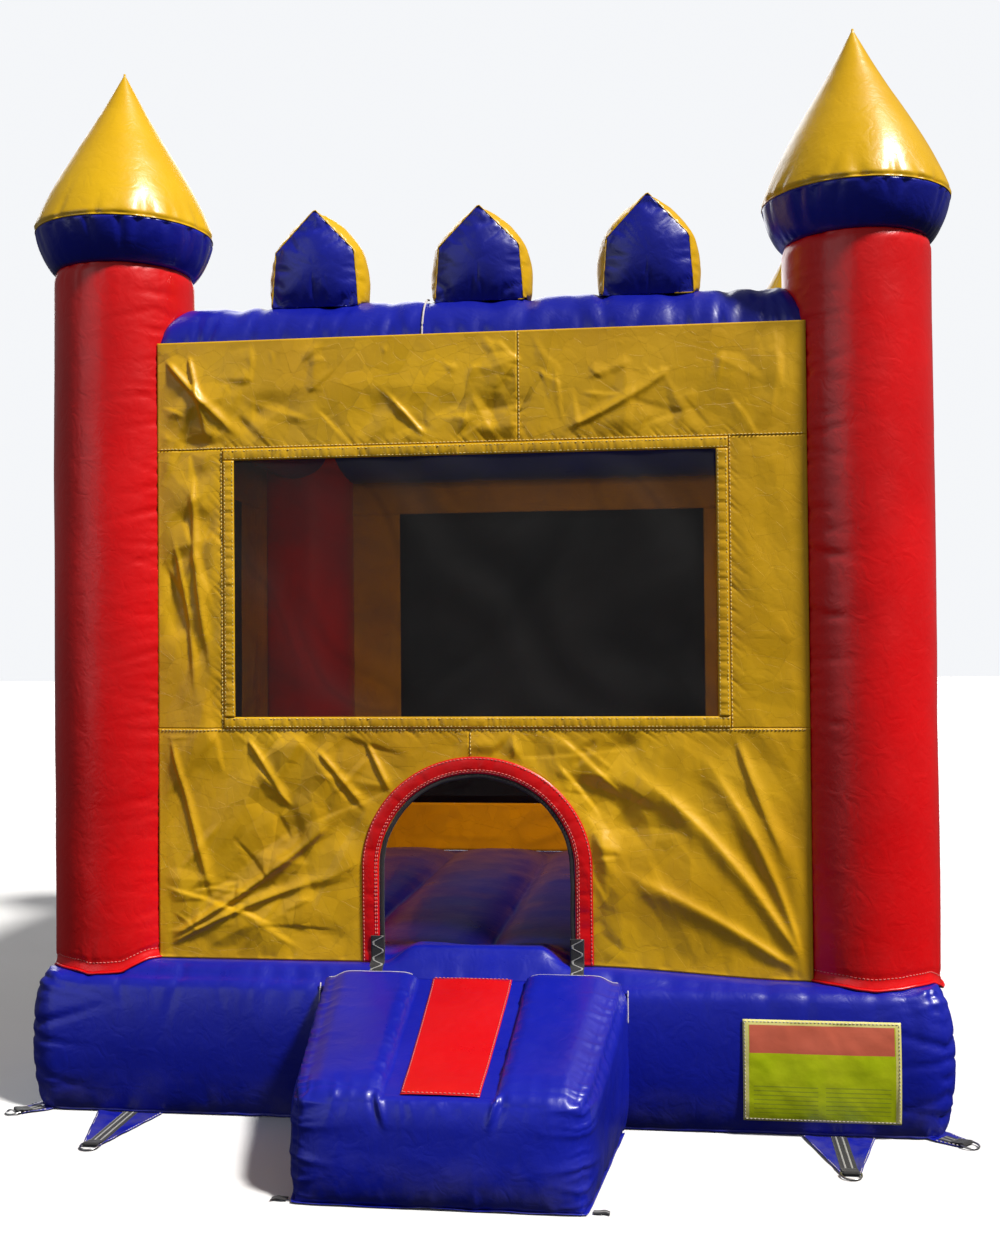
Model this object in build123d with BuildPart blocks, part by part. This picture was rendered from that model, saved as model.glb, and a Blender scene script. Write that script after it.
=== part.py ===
from build123d import *
from math import asin, cos, radians, sin, sqrt
import os

# Inflatable bounce house, in millimetres.
# +Z is up, -Y is the front with the door and the step.
# The origin is on the ground, at the centre of the square base.

# ---- Driving dimensions ----

vinyl = 2.0  # thickness that stands for every coated-fabric wall
gap = 1.0  # clearance between sewn neighbours
seam = 1.0  # clearance between two panels of one wall

base_side = 3050.0
base_height = 465.0
base_corner_radius = 100.0
base_edge_radius = 45.0
floor_side = 2020.0
floor_crown = 30.0
baffle_spacing = 500.0
baffle_length = 2800.0
column_port_radius = 150.0
step_port_radius = 80.0
step_port_level = 200.0
port_cut = 3 * vinyl

column_x = 1290.0
column_y = 1246.0
column_radius = 247.0
column_top = 2905.0
collar_height = 140.0
collar_radius = 315.0
collar_belly = 44.0
collar_belly_level = 64.4
cone_height = 605.0
# How far the cone has drawn in at two heights above its eave.
cone_round_levels = (42.0, 84.0)
cone_round_insets = (7.0, 25.0)

beam_radius = 166.0
beam_level = 2602.0
roof_level = 2650.0

merlon_width = 302.0
merlon_shoulder_width = 282.0
merlon_depth = 150.0
merlon_spacing = 580.0
merlon_centre = 13.0
merlon_shoulder = 2942.0
merlon_apex = 3083.0

wall_top = 2628.0
wall_bottom = base_height + gap
border_width = 39.0

front_window = (-870.0, 1290.0, 850.0, 2251.0)
side_window = (-638.0, 720.0, 638.0, 2290.0)
rear_window = (-820.0, 720.0, 820.0, 2290.0)
front_upper_seam = 152.0
front_lower_seam = -21.0

door_centre = 2.0
door_arch_level = 800.0
door_trim_radius = 391.0
door_hole_radius = 332.0
door_binding_width = 16.0
door_binding_depth = 6.0
door_strap_offset = 337.0
door_strap_width = 47.0
door_strap_rise = 125.0
door_strap_reach = 32.0

step_reach = 680.0
step_back_width = 1010.0
step_front_width = 860.0
step_back_height = 455.0
step_front_height = 303.0
step_edge_radius = 40.0
tread_width = 244.0
tread_length = 630.0
tread_corner_radius = 8.0
gutter_offset = 155.0
step_baffle_margin = 12.0
step_baffle_nose = 60.0

sign_size = (490.0, 322.0)
sign_centre = (1117.0, 204.0)
sign_corner_radius = 6.0

webbing_width = 50.0
webbing = 2.0
ring_wire = 3.0
ring_half_width = 29.5
ring_shoulder = 9.0
ring_loop_play = 0.5
ring_ground_gap = 0.2
front_anchor_offset = 1170.0
front_anchor_length = 320.0
corner_anchor_length = 85.0
webbing_lap = 45.0
lap_taper = 3.0
patch_margin = 3.0
patch_spread = 0.275
patch_root = 25.0
tail_size = (52.0, 25.0)
tail_corner_radius = 5.0

sleeve_x = -700.0
sleeve_radius = 120.0
sleeve_level = 125.0
sleeve_length = 450.0
sleeve_tie_place = 360.0
sleeve_tie_width = 25.0
sleeve_tie_gap = 0.4

zip_start = 450.0
zip_length = 640.0
zip_level = 150.0
zip_tape_width = 32.0
slider_length = 22.0
slider_width = 14.0
slider_thickness = 5.0
pull_length = 34.0
pull_width = 11.0
pull_pin_radius = 1.2
zip_corner_radius = 5.0
slider_lift = 0.5
slider_corner_radius = 4.0
pin_stand_off = 3.5
post_size = (5.0, 2.0)
post_spacing = 11.0
pin_length = 12.0
eye_wall = 1.7
eye_play = 0.4
eye_length = 7.0
pull_thickness = 1.6
pull_corner_radius = 3.0
pull_hole_radius = 2.5
pull_hole_inset = 7.0
pull_root = 3.0

os.makedirs("parts", exist_ok=True)


def save(builder, label):
    builder.part.label = label
    export_step(builder.part, f"parts/{label}.step")


# ---- Places that several pieces share ----

half = base_side / 2
corners = {
    "front_left": (-column_x, -column_y),
    "front_right": (column_x, -column_y),
    "rear_left": (-column_x, column_y),
    "rear_right": (column_x, column_y),
}
# Walls hang just outside the beams, and reach from column to column.
wall_y = column_y + beam_radius + gap
wall_x = column_x + beam_radius + gap
column_chord = sqrt(column_radius**2 - (beam_radius + gap) ** 2)
long_half = column_x - column_chord - gap
short_half = column_y - column_chord - gap
# Each wall plane faces outwards, with its x to the right of someone who looks at it from outside.
walls = {
    "front": Plane(origin=(0, -wall_y, 0), x_dir=(1, 0, 0), z_dir=(0, -1, 0)),
    "left": Plane(origin=(-wall_x, 0, 0), x_dir=(0, -1, 0), z_dir=(-1, 0, 0)),
    "right": Plane(origin=(wall_x, 0, 0), x_dir=(0, 1, 0), z_dir=(1, 0, 0)),
    "rear": Plane(origin=(0, wall_y, 0), x_dir=(-1, 0, 0), z_dir=(0, 1, 0)),
}


def rectangle_between(x_low, z_low, x_high, z_high, mode=Mode.ADD):
    with Locations(((x_low + x_high) / 2, (z_low + z_high) / 2)):
        Rectangle(x_high - x_low, z_high - z_low, mode=mode)


def arch(radius, bottom, mode=Mode.ADD):
    """The door's outline: a half circle on two straight legs."""
    with Locations((door_centre, door_arch_level)):
        Circle(radius, mode=mode)
    with Locations((door_centre, (door_arch_level + bottom) / 2)):
        Rectangle(2 * radius, door_arch_level - bottom, mode=mode)


# ---- Base: the floor that the children jump on ----

with BuildPart() as base_shell:
    with BuildSketch():
        RectangleRounded(base_side, base_side, base_corner_radius)
    extrude(amount=base_height)
    fillet(base_shell.faces().sort_by(Axis.Z)[-1].edges(), radius=base_edge_radius)
    with BuildSketch(Plane.XY.offset(base_height)):
        RectangleRounded(floor_side, floor_side, base_corner_radius)
    extrude(amount=floor_crown, taper=45)
    base_air = offset(amount=-vinyl, kind=Kind.INTERSECTION, mode=Mode.PRIVATE)
    add(base_air, mode=Mode.SUBTRACT)
    # Air ports: one under each column, one to the step and one to the inflation sleeve.
    with BuildSketch(Plane.XY.offset(base_height)):
        with Locations(*corners.values()):
            Circle(column_port_radius)
    extrude(amount=-port_cut, mode=Mode.SUBTRACT)
    with BuildSketch(Plane.XZ.offset(half)):
        with Locations((0, step_port_level)):
            Circle(step_port_radius)
    extrude(amount=-port_cut, mode=Mode.SUBTRACT)
    with BuildSketch(Plane.XZ.offset(-half)):
        with Locations((sleeve_x, sleeve_level)):
            Circle(sleeve_radius - vinyl)
    extrude(amount=port_cut, mode=Mode.SUBTRACT)
save(base_shell, "base_shell")

# Upright sheets that tie the floor to the underside and make the floor's channels.
with BuildPart() as base_baffles:
    with BuildSketch(Plane.XY.offset(2 * vinyl)):
        with GridLocations(baffle_spacing, baffle_spacing, 5, 1):
            Rectangle(vinyl, baffle_length)
    extrude(amount=base_height - 4 * vinyl)
save(base_baffles, "base_baffles")

# ---- Step in front of the door ----

step_back = -half - gap
step_front = step_back - step_reach


def step_sections(inset):
    """The step's upright back and front rectangles, drawn in by inset: y, width, bottom and top."""
    return (
        (step_back - inset, step_back_width - 2 * inset, inset, step_back_height - inset),
        (step_front + inset, step_front_width - 2 * inset, inset, step_front_height - inset),
    )


def step_rounding(radius):
    """Rounds every edge of the step except those on the ground and against the base."""
    upper = edges().filter_by(lambda e: e.center().Z > step_edge_radius)
    fillet(upper.filter_by(lambda e: e.center().Y < step_back - 2 * vinyl), radius=radius)


with BuildPart() as step_air:
    for y, width, bottom, top in step_sections(vinyl):
        with BuildSketch(Plane.XZ.offset(-y)):
            rectangle_between(-width / 2, bottom, width / 2, top)
    loft(ruled=True)
    step_rounding(step_edge_radius - vinyl)

with BuildPart() as step_shell:
    for y, width, bottom, top in step_sections(0):
        with BuildSketch(Plane.XZ.offset(-y)):
            rectangle_between(-width / 2, bottom, width / 2, top)
    loft(ruled=True)
    step_rounding(step_edge_radius)
    add(step_air.part, mode=Mode.SUBTRACT)
    with BuildSketch(Plane.XZ.offset(-step_back)):
        with Locations((0, step_port_level)):
            Circle(step_port_radius)
    extrude(amount=port_cut, mode=Mode.SUBTRACT)
save(step_shell, "step_shell")

# Two upright sheets inside the step, under the gutters beside the tread.
with BuildPart() as step_baffles:
    with BuildSketch(Plane.YZ.offset(-gutter_offset - vinyl / 2)):
        with BuildLine():
            Polyline(
                (step_back - step_baffle_margin, 2 * vinyl),
                (step_back - step_baffle_margin, step_back_height - step_baffle_margin),
                (step_front + step_baffle_nose, step_front_height),
                (step_front + step_baffle_margin, step_front_height - step_baffle_nose),
                (step_front + step_baffle_margin, 2 * vinyl),
                close=True,
            )
        make_face()
    extrude(amount=vinyl)
    mirror(about=Plane.YZ)
save(step_baffles, "step_baffles")

step_slope = Plane(
    origin=(0, (step_back + step_front) / 2, (step_back_height + step_front_height) / 2),
    x_dir=(1, 0, 0),
    z_dir=(0, -(step_back_height - step_front_height), step_reach),
)
with BuildPart() as step_tread_strip:
    with BuildSketch(step_slope):
        RectangleRounded(tread_width, tread_length, tread_corner_radius)
    extrude(amount=vinyl)
save(step_tread_strip, "step_tread_strip")

# ---- Corner towers: column, collar and cone ----

for place, (x, y) in corners.items():
    with BuildPart() as column:
        with BuildSketch(Plane(origin=(x, y, base_height))):
            Circle(column_radius)
            Circle(column_radius - vinyl, mode=Mode.SUBTRACT)
        extrude(amount=column_top - base_height)
    save(column, f"column_{place}")

    tower = Plane(origin=(x, y, column_top + seam), x_dir=(1, 0, 0), z_dir=(0, -1, 0))
    tower_axis = Axis((x, y, 0), (0, 0, 1))
    with BuildPart() as collar:
        with BuildSketch(tower):
            with BuildLine():
                outer = ThreePointArc(
                    (column_radius, 0),
                    (column_radius + collar_belly, collar_belly_level),
                    (collar_radius, collar_height),
                )
                inner = ThreePointArc(
                    (column_radius - vinyl, 0),
                    (column_radius + collar_belly - vinyl, collar_belly_level),
                    (collar_radius - vinyl, collar_height),
                )
                Line(outer @ 0, inner @ 0)
                Line(outer @ 1, inner @ 1)
            make_face()
        revolve(axis=tower_axis)
    save(collar, f"collar_{place}")

    eave = collar_height + seam
    middle_level, upper_level = cone_round_levels
    middle_radius, upper_radius = (collar_radius - inset for inset in cone_round_insets)
    with BuildPart() as cone:
        with BuildSketch(tower):
            with BuildLine():
                outer = ThreePointArc(
                    (collar_radius, eave),
                    (middle_radius, eave + middle_level),
                    (upper_radius, eave + upper_level),
                )
                slope = Line(outer @ 1, (0, eave + cone_height))
                axis_line = Line(slope @ 1, (0, eave + cone_height - 3 * vinyl))
                inner_slope = Line(axis_line @ 1, (upper_radius - vinyl, eave + upper_level - vinyl))
                inner = ThreePointArc(
                    inner_slope @ 1,
                    (middle_radius - vinyl, eave + middle_level - vinyl),
                    (collar_radius - vinyl, eave),
                )
                Line(inner @ 1, outer @ 0)
            make_face()
        revolve(axis=tower_axis)
    save(cone, f"cone_{place}")

# ---- Beams along the tops of the walls, and the roof between them ----

beam_ends = {
    "front": ("front_left", "front_right"),
    "rear": ("rear_left", "rear_right"),
    "left": ("front_left", "rear_left"),
    "right": ("front_right", "rear_right"),
}
for place, (first, last) in beam_ends.items():
    start = Vector(*corners[first], beam_level)
    run = Vector(*corners[last], beam_level) - start
    with BuildPart() as beam:
        with BuildSketch(Plane(origin=start, z_dir=run)):
            Circle(beam_radius)
            Circle(beam_radius - vinyl, mode=Mode.SUBTRACT)
        extrude(amount=run.length)
        with BuildSketch(Plane.XY.offset(beam_level - 2 * beam_radius)):
            with Locations(corners[first], corners[last]):
                Circle(column_radius + gap)
        extrude(amount=4 * beam_radius, mode=Mode.SUBTRACT)
    save(beam, f"beam_{place}")

roof_inset = sqrt(beam_radius**2 - (roof_level - beam_level) ** 2) + gap
with BuildPart() as roof_sheet:
    with BuildSketch(Plane.XY.offset(roof_level)):
        Rectangle(2 * (column_x - roof_inset), 2 * (column_y - roof_inset))
        with Locations(*corners.values()):
            Circle(column_radius + gap, mode=Mode.SUBTRACT)
    extrude(amount=vinyl)
save(roof_sheet, "roof_sheet")

# ---- Merlons on the front beam: two faces and a gusset each ----

merlon_centres = {
    "left": merlon_centre - merlon_spacing,
    "middle": merlon_centre,
    "right": merlon_centre + merlon_spacing,
}
face_bottom = beam_level + sqrt((beam_radius + gap) ** 2 - (merlon_depth / 2 - vinyl) ** 2)
front_beam = Plane(origin=(0, -column_y, 0), x_dir=(1, 0, 0), z_dir=(0, -1, 0))


def merlon_outline(x, bottom, inset=0, mode=Mode.ADD):
    """A house shape: upright sides and a pointed top."""
    foot = merlon_width / 2 - inset
    reach = merlon_shoulder_width / 2 - inset
    shoulder = merlon_shoulder - inset / 2
    corner_points = (
        (x - foot, bottom),
        (x + foot, bottom),
        (x + reach, shoulder),
        (x, merlon_apex - 1.3 * inset),
        (x - reach, shoulder),
    )
    Polygon(*corner_points, align=None, mode=mode)


for place, x in merlon_centres.items():
    with BuildPart() as merlon:
        for face_at in (merlon_depth / 2 - vinyl, -merlon_depth / 2):
            with BuildSketch(front_beam.offset(face_at)):
                merlon_outline(x, face_bottom)
            extrude(amount=vinyl)
    save(merlon, f"merlon_{place}")

with BuildPart() as merlon_gussets:
    for x in merlon_centres.values():
        with BuildSketch(front_beam.offset(vinyl - merlon_depth / 2)):
            merlon_outline(x, beam_level)
            merlon_outline(x, beam_level, inset=vinyl, mode=Mode.SUBTRACT)
        extrude(amount=merlon_depth - 2 * vinyl)
    with BuildSketch(Plane.YZ.offset(-long_half)):
        with Locations((-column_y, beam_level)):
            Circle(beam_radius + gap)
    extrude(amount=2 * long_half, mode=Mode.SUBTRACT)
save(merlon_gussets, "merlon_gussets")

# ---- Front wall: six panels around the window and the door ----

window_low_x, window_low_z, window_high_x, window_high_z = front_window
front_panels = {
    "upper_left": (-long_half, window_high_z + seam, front_upper_seam, wall_top),
    "upper_right": (front_upper_seam + seam, window_high_z + seam, long_half, wall_top),
    "side_left": (-long_half, window_low_z + seam, window_low_x - seam, window_high_z),
    "side_right": (window_high_x + seam, window_low_z + seam, long_half, window_high_z),
    "lower_left": (-long_half, wall_bottom, front_lower_seam, window_low_z),
    "lower_right": (front_lower_seam + seam, wall_bottom, long_half, window_low_z),
}
for place, bounds in front_panels.items():
    with BuildPart() as panel:
        with BuildSketch(walls["front"]):
            rectangle_between(*bounds)
            if place.startswith("lower"):
                arch(door_hole_radius, base_height, mode=Mode.SUBTRACT)
        extrude(amount=vinyl)
    save(panel, f"front_wall_{place}")

# Red band round the door, sewn on the outside of the wall.
with BuildPart() as door_trim:
    with BuildSketch(walls["front"].offset(vinyl)):
        arch(door_trim_radius, wall_bottom)
        rectangle_between(-long_half, 0, long_half, wall_bottom, mode=Mode.SUBTRACT)
        arch(door_hole_radius, base_height, mode=Mode.SUBTRACT)
    extrude(amount=vinyl)
save(door_trim, "door_trim")

# Black tape that binds the cut edge of the doorway.
with BuildPart() as door_binding:
    with BuildSketch(walls["front"].offset(vinyl / 2 - door_binding_depth / 2)):
        arch(door_hole_radius - seam / 2, wall_bottom)
        arch(door_hole_radius - seam / 2 - door_binding_width, base_height, mode=Mode.SUBTRACT)
    extrude(amount=door_binding_depth)
save(door_binding, "door_binding")

# Webbing that ties each foot of the doorway down to the base.
strap_back = -wall_y - 2 * vinyl - gap
with BuildPart() as door_straps:
    with BuildSketch(Plane.YZ.offset(door_centre - door_strap_width / 2)):
        with BuildLine():
            Polyline(
                (strap_back, base_height + webbing),
                (strap_back, base_height + door_strap_rise),
                (strap_back - webbing, base_height + door_strap_rise),
                (strap_back - webbing, base_height + webbing),
                (strap_back - door_strap_reach, base_height + webbing),
                (strap_back - door_strap_reach, base_height),
                (strap_back, base_height),
                close=True,
            )
        make_face()
    foot = extrude(amount=door_strap_width, mode=Mode.PRIVATE)
    with Locations((door_strap_offset, 0, 0), (-door_strap_offset, 0, 0)):
        add(foot)
save(door_straps, "door_straps")

# ---- Other walls: four panels round a window ----

other_walls = {
    "left": (side_window, short_half),
    "right": (side_window, short_half),
    "rear": (rear_window, long_half),
}
for place, (window, wall_half) in other_walls.items():
    low_x, low_z, high_x, high_z = window
    with BuildPart() as panels:
        with BuildSketch(walls[place]):
            rectangle_between(-wall_half, high_z + seam, wall_half, wall_top)
            rectangle_between(-wall_half, low_z, low_x - seam, high_z)
            rectangle_between(high_x + seam, low_z, wall_half, high_z)
            rectangle_between(-wall_half, wall_bottom, wall_half, low_z - seam)
        extrude(amount=vinyl)
    save(panels, f"{place}_wall_panels")

# ---- Windows: a net and the tape that is sewn round it ----

windows = {"front": front_window, "left": side_window, "right": side_window, "rear": rear_window}
for place, (low_x, low_z, high_x, high_z) in windows.items():
    with BuildPart() as net:
        with BuildSketch(walls[place]):
            rectangle_between(low_x + seam, low_z + seam, high_x - seam, high_z - seam)
        extrude(amount=vinyl)
    save(net, f"{place}_window_mesh")

    with BuildPart() as border:
        with BuildSketch(walls[place].offset(vinyl)):
            rectangle_between(low_x, high_z - border_width, high_x, high_z)
            rectangle_between(low_x, low_z, high_x, low_z + border_width)
            rectangle_between(
                low_x, low_z + border_width + seam, low_x + border_width, high_z - border_width - seam
            )
            rectangle_between(
                high_x - border_width, low_z + border_width + seam, high_x, high_z - border_width - seam
            )
        extrude(amount=vinyl)
    save(border, f"{place}_window_border")

# ---- Plain instruction panel on the front of the base ----

with BuildPart() as sign_panel:
    with BuildSketch(Plane.XZ.offset(half)):
        with Locations(sign_centre):
            RectangleRounded(*sign_size, sign_corner_radius)
    extrude(amount=vinyl)
save(sign_panel, "sign_panel")

# ---- Ground anchors: patch, webbing and D-ring ----

corner_point = half - base_corner_radius * (1 - sqrt(0.5))
anchors = {
    "front_left": (-front_anchor_offset, -half, -90, front_anchor_length),
    "front_right": (front_anchor_offset, -half, -90, front_anchor_length),
    "corner_front_left": (-corner_point, -corner_point, -135, corner_anchor_length),
    "corner_front_right": (corner_point, -corner_point, -45, corner_anchor_length),
    "corner_rear_left": (-corner_point, corner_point, 135, corner_anchor_length),
    "corner_rear_right": (corner_point, corner_point, 45, corner_anchor_length),
}
loop_inner = ring_wire + ring_loop_play
loop_outer = loop_inner + webbing
bar_level = vinyl + loop_outer


def outward(x, y, heading, distance):
    """The point that lies distance outwards from an anchor's start, on the ground."""
    return (x + distance * cos(radians(heading)), y + distance * sin(radians(heading)), 0)


with BuildPart() as anchor_patches:
    for x, y, heading, length in anchors.values():
        root_half = patch_spread * length + patch_root
        ground = Plane(origin=(x, y, 0), x_dir=outward(0, 0, heading, 1), z_dir=(0, 0, 1))
        with BuildSketch(ground):
            with BuildLine():
                Polyline(
                    (-base_corner_radius / 3, -root_half),
                    (0, -root_half),
                    (length - loop_outer, -webbing_width / 2 - patch_margin),
                    (length - loop_outer, webbing_width / 2 + patch_margin),
                    (0, root_half),
                    (-base_corner_radius / 3, root_half),
                    close=True,
                )
            make_face()
        extrude(amount=vinyl)
    with BuildSketch():
        RectangleRounded(base_side + gap, base_side + gap, base_corner_radius + gap / 2)
    extrude(amount=vinyl, mode=Mode.SUBTRACT)
save(anchor_patches, "anchor_patches")

with BuildPart() as anchor_webbing:
    for x, y, heading, length in anchors.values():
        side = Plane(
            origin=outward(x, y, heading - 90, webbing_width / 2),
            x_dir=outward(0, 0, heading, 1),
            z_dir=outward(0, 0, heading - 90, 1),
        )
        with BuildSketch(side):
            with BuildLine():
                bottom = Line((-base_corner_radius / 3, vinyl), (length, vinyl))
                nose = ThreePointArc(
                    bottom @ 1, (length + loop_outer, bar_level), (length, bar_level + loop_outer)
                )
                Polyline(
                    nose @ 1,
                    (length - webbing_lap, vinyl + 2 * webbing),
                    (length - webbing_lap, vinyl + webbing),
                    (-base_corner_radius / 3, vinyl + webbing),
                    bottom @ 0,
                )
            make_face()
            with BuildLine():
                inside = ThreePointArc(
                    (length, bar_level - loop_inner),
                    (length + loop_inner, bar_level),
                    (length, bar_level + loop_inner),
                )
                Polyline(inside @ 1, (length - webbing_lap + lap_taper, vinyl + webbing), inside @ 0)
            make_face(mode=Mode.SUBTRACT)
        extrude(amount=-webbing_width)
    with BuildSketch():
        RectangleRounded(base_side + gap, base_side + gap, base_corner_radius + gap / 2)
    extrude(amount=4 * webbing, mode=Mode.SUBTRACT)
    # Short folded tails at the two front corners of the step.
    for side_sign in (-1, 1):
        tail = Plane(
            origin=(side_sign * (step_front_width / 2 + gap), step_front + tail_size[1] / 2, 0),
            x_dir=(side_sign, 0, 0),
            z_dir=(0, 0, 1),
        )
        with BuildSketch(tail):
            with Locations((tail_size[0] / 2, 0)):
                RectangleRounded(*tail_size, tail_corner_radius)
        extrude(amount=2 * webbing)
save(anchor_webbing, "anchor_webbing")

# A ring lies on the ground, so its plane slopes down from the bar in the webbing.
ring_reach = ring_shoulder + ring_half_width
ring_slope = asin((bar_level - ring_wire - ring_ground_gap) / ring_reach)
for place, (x, y, heading, length) in anchors.items():
    bar_x, bar_y, _ = outward(x, y, heading, length)
    along = outward(0, 0, heading, cos(ring_slope))
    across = outward(0, 0, heading + 90, 1)
    bar = Vector(bar_x, bar_y, bar_level)
    forward = Vector(along[0], along[1], -sin(ring_slope))
    side = Vector(*across)
    with BuildPart() as ring:
        with BuildSketch(Plane(origin=bar - side * ring_half_width, z_dir=side)):
            Circle(ring_wire)
        extrude(amount=2 * ring_half_width)
        for sign in (-1, 1):
            heel = bar + side * (sign * ring_half_width)
            with Locations(Location(heel)):
                Sphere(ring_wire)
            with BuildSketch(Plane(origin=heel, z_dir=forward)):
                Circle(ring_wire)
            extrude(amount=ring_shoulder)
        bow_centre = bar + forward * ring_shoulder
        with BuildSketch(Plane(origin=bow_centre + side * ring_half_width, x_dir=side, z_dir=forward)):
            Circle(ring_wire)
        revolve(axis=Axis(bow_centre, side.cross(forward)), revolution_arc=180)
    save(ring, f"d_ring_{place}")

# ---- Inflation sleeve at the rear, with its tie ----

with BuildPart() as inflation_sleeve:
    with BuildSketch(Plane.XZ.offset(-half)):
        with Locations((sleeve_x, sleeve_level)):
            Circle(sleeve_radius)
            Circle(sleeve_radius - vinyl, mode=Mode.SUBTRACT)
    extrude(amount=-sleeve_length)
save(inflation_sleeve, "inflation_sleeve")

with BuildPart() as sleeve_tie:
    with BuildSketch(Plane.XZ.offset(-half - sleeve_tie_place)):
        with Locations((sleeve_x, sleeve_level)):
            Circle(sleeve_radius + sleeve_tie_gap + vinyl)
            Circle(sleeve_radius + sleeve_tie_gap, mode=Mode.SUBTRACT)
    extrude(amount=-sleeve_tie_width)
save(sleeve_tie, "sleeve_tie")

# ---- Deflation zip at the rear: tape, slider and pull ----

rear_face = Plane(origin=(0, half, zip_level), x_dir=(-1, 0, 0), z_dir=(0, 1, 0))
with BuildPart() as zip_tape:
    with BuildSketch(rear_face):
        with Locations((-zip_start - zip_length / 2, 0)):
            RectangleRounded(zip_length, zip_tape_width, zip_corner_radius)
    extrude(amount=vinyl)
save(zip_tape, "zip_tape")

slider_x = zip_start + 1.5 * slider_length
slider_back = half + vinyl + slider_lift
slider_front = slider_back + slider_thickness
pin_y = slider_front + pin_stand_off
with BuildPart() as zip_slider:
    with BuildSketch(Plane(origin=(slider_x, slider_back, zip_level), x_dir=(-1, 0, 0), z_dir=(0, 1, 0))):
        RectangleRounded(slider_length, slider_width, slider_corner_radius)
    extrude(amount=slider_thickness)
    # Two posts carry the pin that the pull turns on.
    with BuildSketch(Plane(origin=(slider_x, slider_front, zip_level), x_dir=(-1, 0, 0), z_dir=(0, 1, 0))):
        with GridLocations(1, post_spacing, 1, 2):
            Rectangle(*post_size)
    extrude(amount=pin_y + pull_pin_radius - slider_front)
    with BuildSketch(Plane(origin=(slider_x, pin_y, zip_level - pin_length / 2))):
        Circle(pull_pin_radius)
    extrude(amount=pin_length)
save(zip_slider, "zip_slider")

eye_radius = pull_pin_radius + eye_wall
eye_bottom = zip_level - eye_length / 2
pull_face = Plane(origin=(slider_x, pin_y - pull_thickness / 2, zip_level), x_dir=(1, 0, 0), z_dir=(0, 1, 0))
with BuildPart() as zip_pull:
    with BuildSketch(Plane(origin=(slider_x, pin_y, eye_bottom))):
        Circle(eye_radius)
        Circle(pull_pin_radius + eye_play, mode=Mode.SUBTRACT)
    extrude(amount=eye_length)
    with BuildSketch(pull_face):
        with Locations((eye_radius + pull_root / 2 + pull_length / 2, 0)):
            RectangleRounded(pull_length, pull_width, pull_corner_radius)
        with Locations((eye_radius + pull_length - pull_hole_inset, 0)):
            Circle(pull_hole_radius, mode=Mode.SUBTRACT)
    extrude(amount=pull_thickness)
    # The root that joins the flat pull to its eye.
    with BuildSketch(Plane(origin=(slider_x + eye_radius, pin_y, eye_bottom))):
        Rectangle(2 * pull_root - 2 * eye_play, pull_thickness)
        with Locations((-eye_radius, 0)):
            Circle(pull_pin_radius + eye_play, mode=Mode.SUBTRACT)
    extrude(amount=eye_length)
save(zip_pull, "zip_pull")
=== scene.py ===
import math

import bmesh
import bpy
import numpy as np
from mathutils import Matrix, Vector
from mathutils.bvhtree import BVHTree


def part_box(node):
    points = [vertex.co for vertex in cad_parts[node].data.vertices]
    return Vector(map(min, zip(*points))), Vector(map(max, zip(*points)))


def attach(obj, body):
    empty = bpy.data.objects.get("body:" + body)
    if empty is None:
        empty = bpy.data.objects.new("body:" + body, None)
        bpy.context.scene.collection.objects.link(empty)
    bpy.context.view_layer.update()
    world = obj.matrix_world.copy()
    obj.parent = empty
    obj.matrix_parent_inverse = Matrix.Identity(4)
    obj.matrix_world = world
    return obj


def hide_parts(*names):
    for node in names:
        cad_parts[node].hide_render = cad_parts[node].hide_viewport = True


# Looks of the inflatable bounce house, in metres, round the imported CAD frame.
# +Z is up, -Y is the front, and the origin is on the ground at the middle of the base.

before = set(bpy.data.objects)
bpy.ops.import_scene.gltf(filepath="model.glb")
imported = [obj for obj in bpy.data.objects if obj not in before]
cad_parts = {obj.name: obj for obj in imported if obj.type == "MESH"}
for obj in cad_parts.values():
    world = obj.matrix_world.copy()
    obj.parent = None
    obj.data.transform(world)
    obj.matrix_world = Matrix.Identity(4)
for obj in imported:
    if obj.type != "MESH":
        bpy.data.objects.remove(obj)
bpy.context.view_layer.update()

# ---- Sizes that the pieces share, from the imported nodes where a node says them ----

BASE_HALF = 1.525
BASE_TOP = 0.465
COLUMN_X, COLUMN_Y = 1.290, 1.246
COLUMN_R = 0.247
COLUMN_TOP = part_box("column_front_left")[1].z
BEAM_R = 0.166
BEAM_Z = 2.602
WALL_Y = COLUMN_Y + BEAM_R + 0.001
WALL_X = COLUMN_X + BEAM_R + 0.001
WALL_LOW, WALL_HIGH = 0.466, 2.628
CHORD = math.sqrt(COLUMN_R**2 - (BEAM_R + 0.001) ** 2)
LONG_HALF = COLUMN_X - CHORD - 0.001
SHORT_HALF = COLUMN_Y - CHORD - 0.001
VINYL = 0.002
DOOR_X, DOOR_Z = 0.002, 0.800
ZIP_X, ZIP_Z = (0.450, 1.090), 0.150
CORNERS = {
    "front_left": (-COLUMN_X, -COLUMN_Y),
    "front_right": (COLUMN_X, -COLUMN_Y),
    "rear_left": (-COLUMN_X, COLUMN_Y),
    "rear_right": (COLUMN_X, COLUMN_Y),
}
TAU = 2 * math.pi


# ---- Small mathematics ----


def ease(t):
    t = np.clip(t, 0, 1)
    return t * t * (3 - 2 * t)


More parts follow.
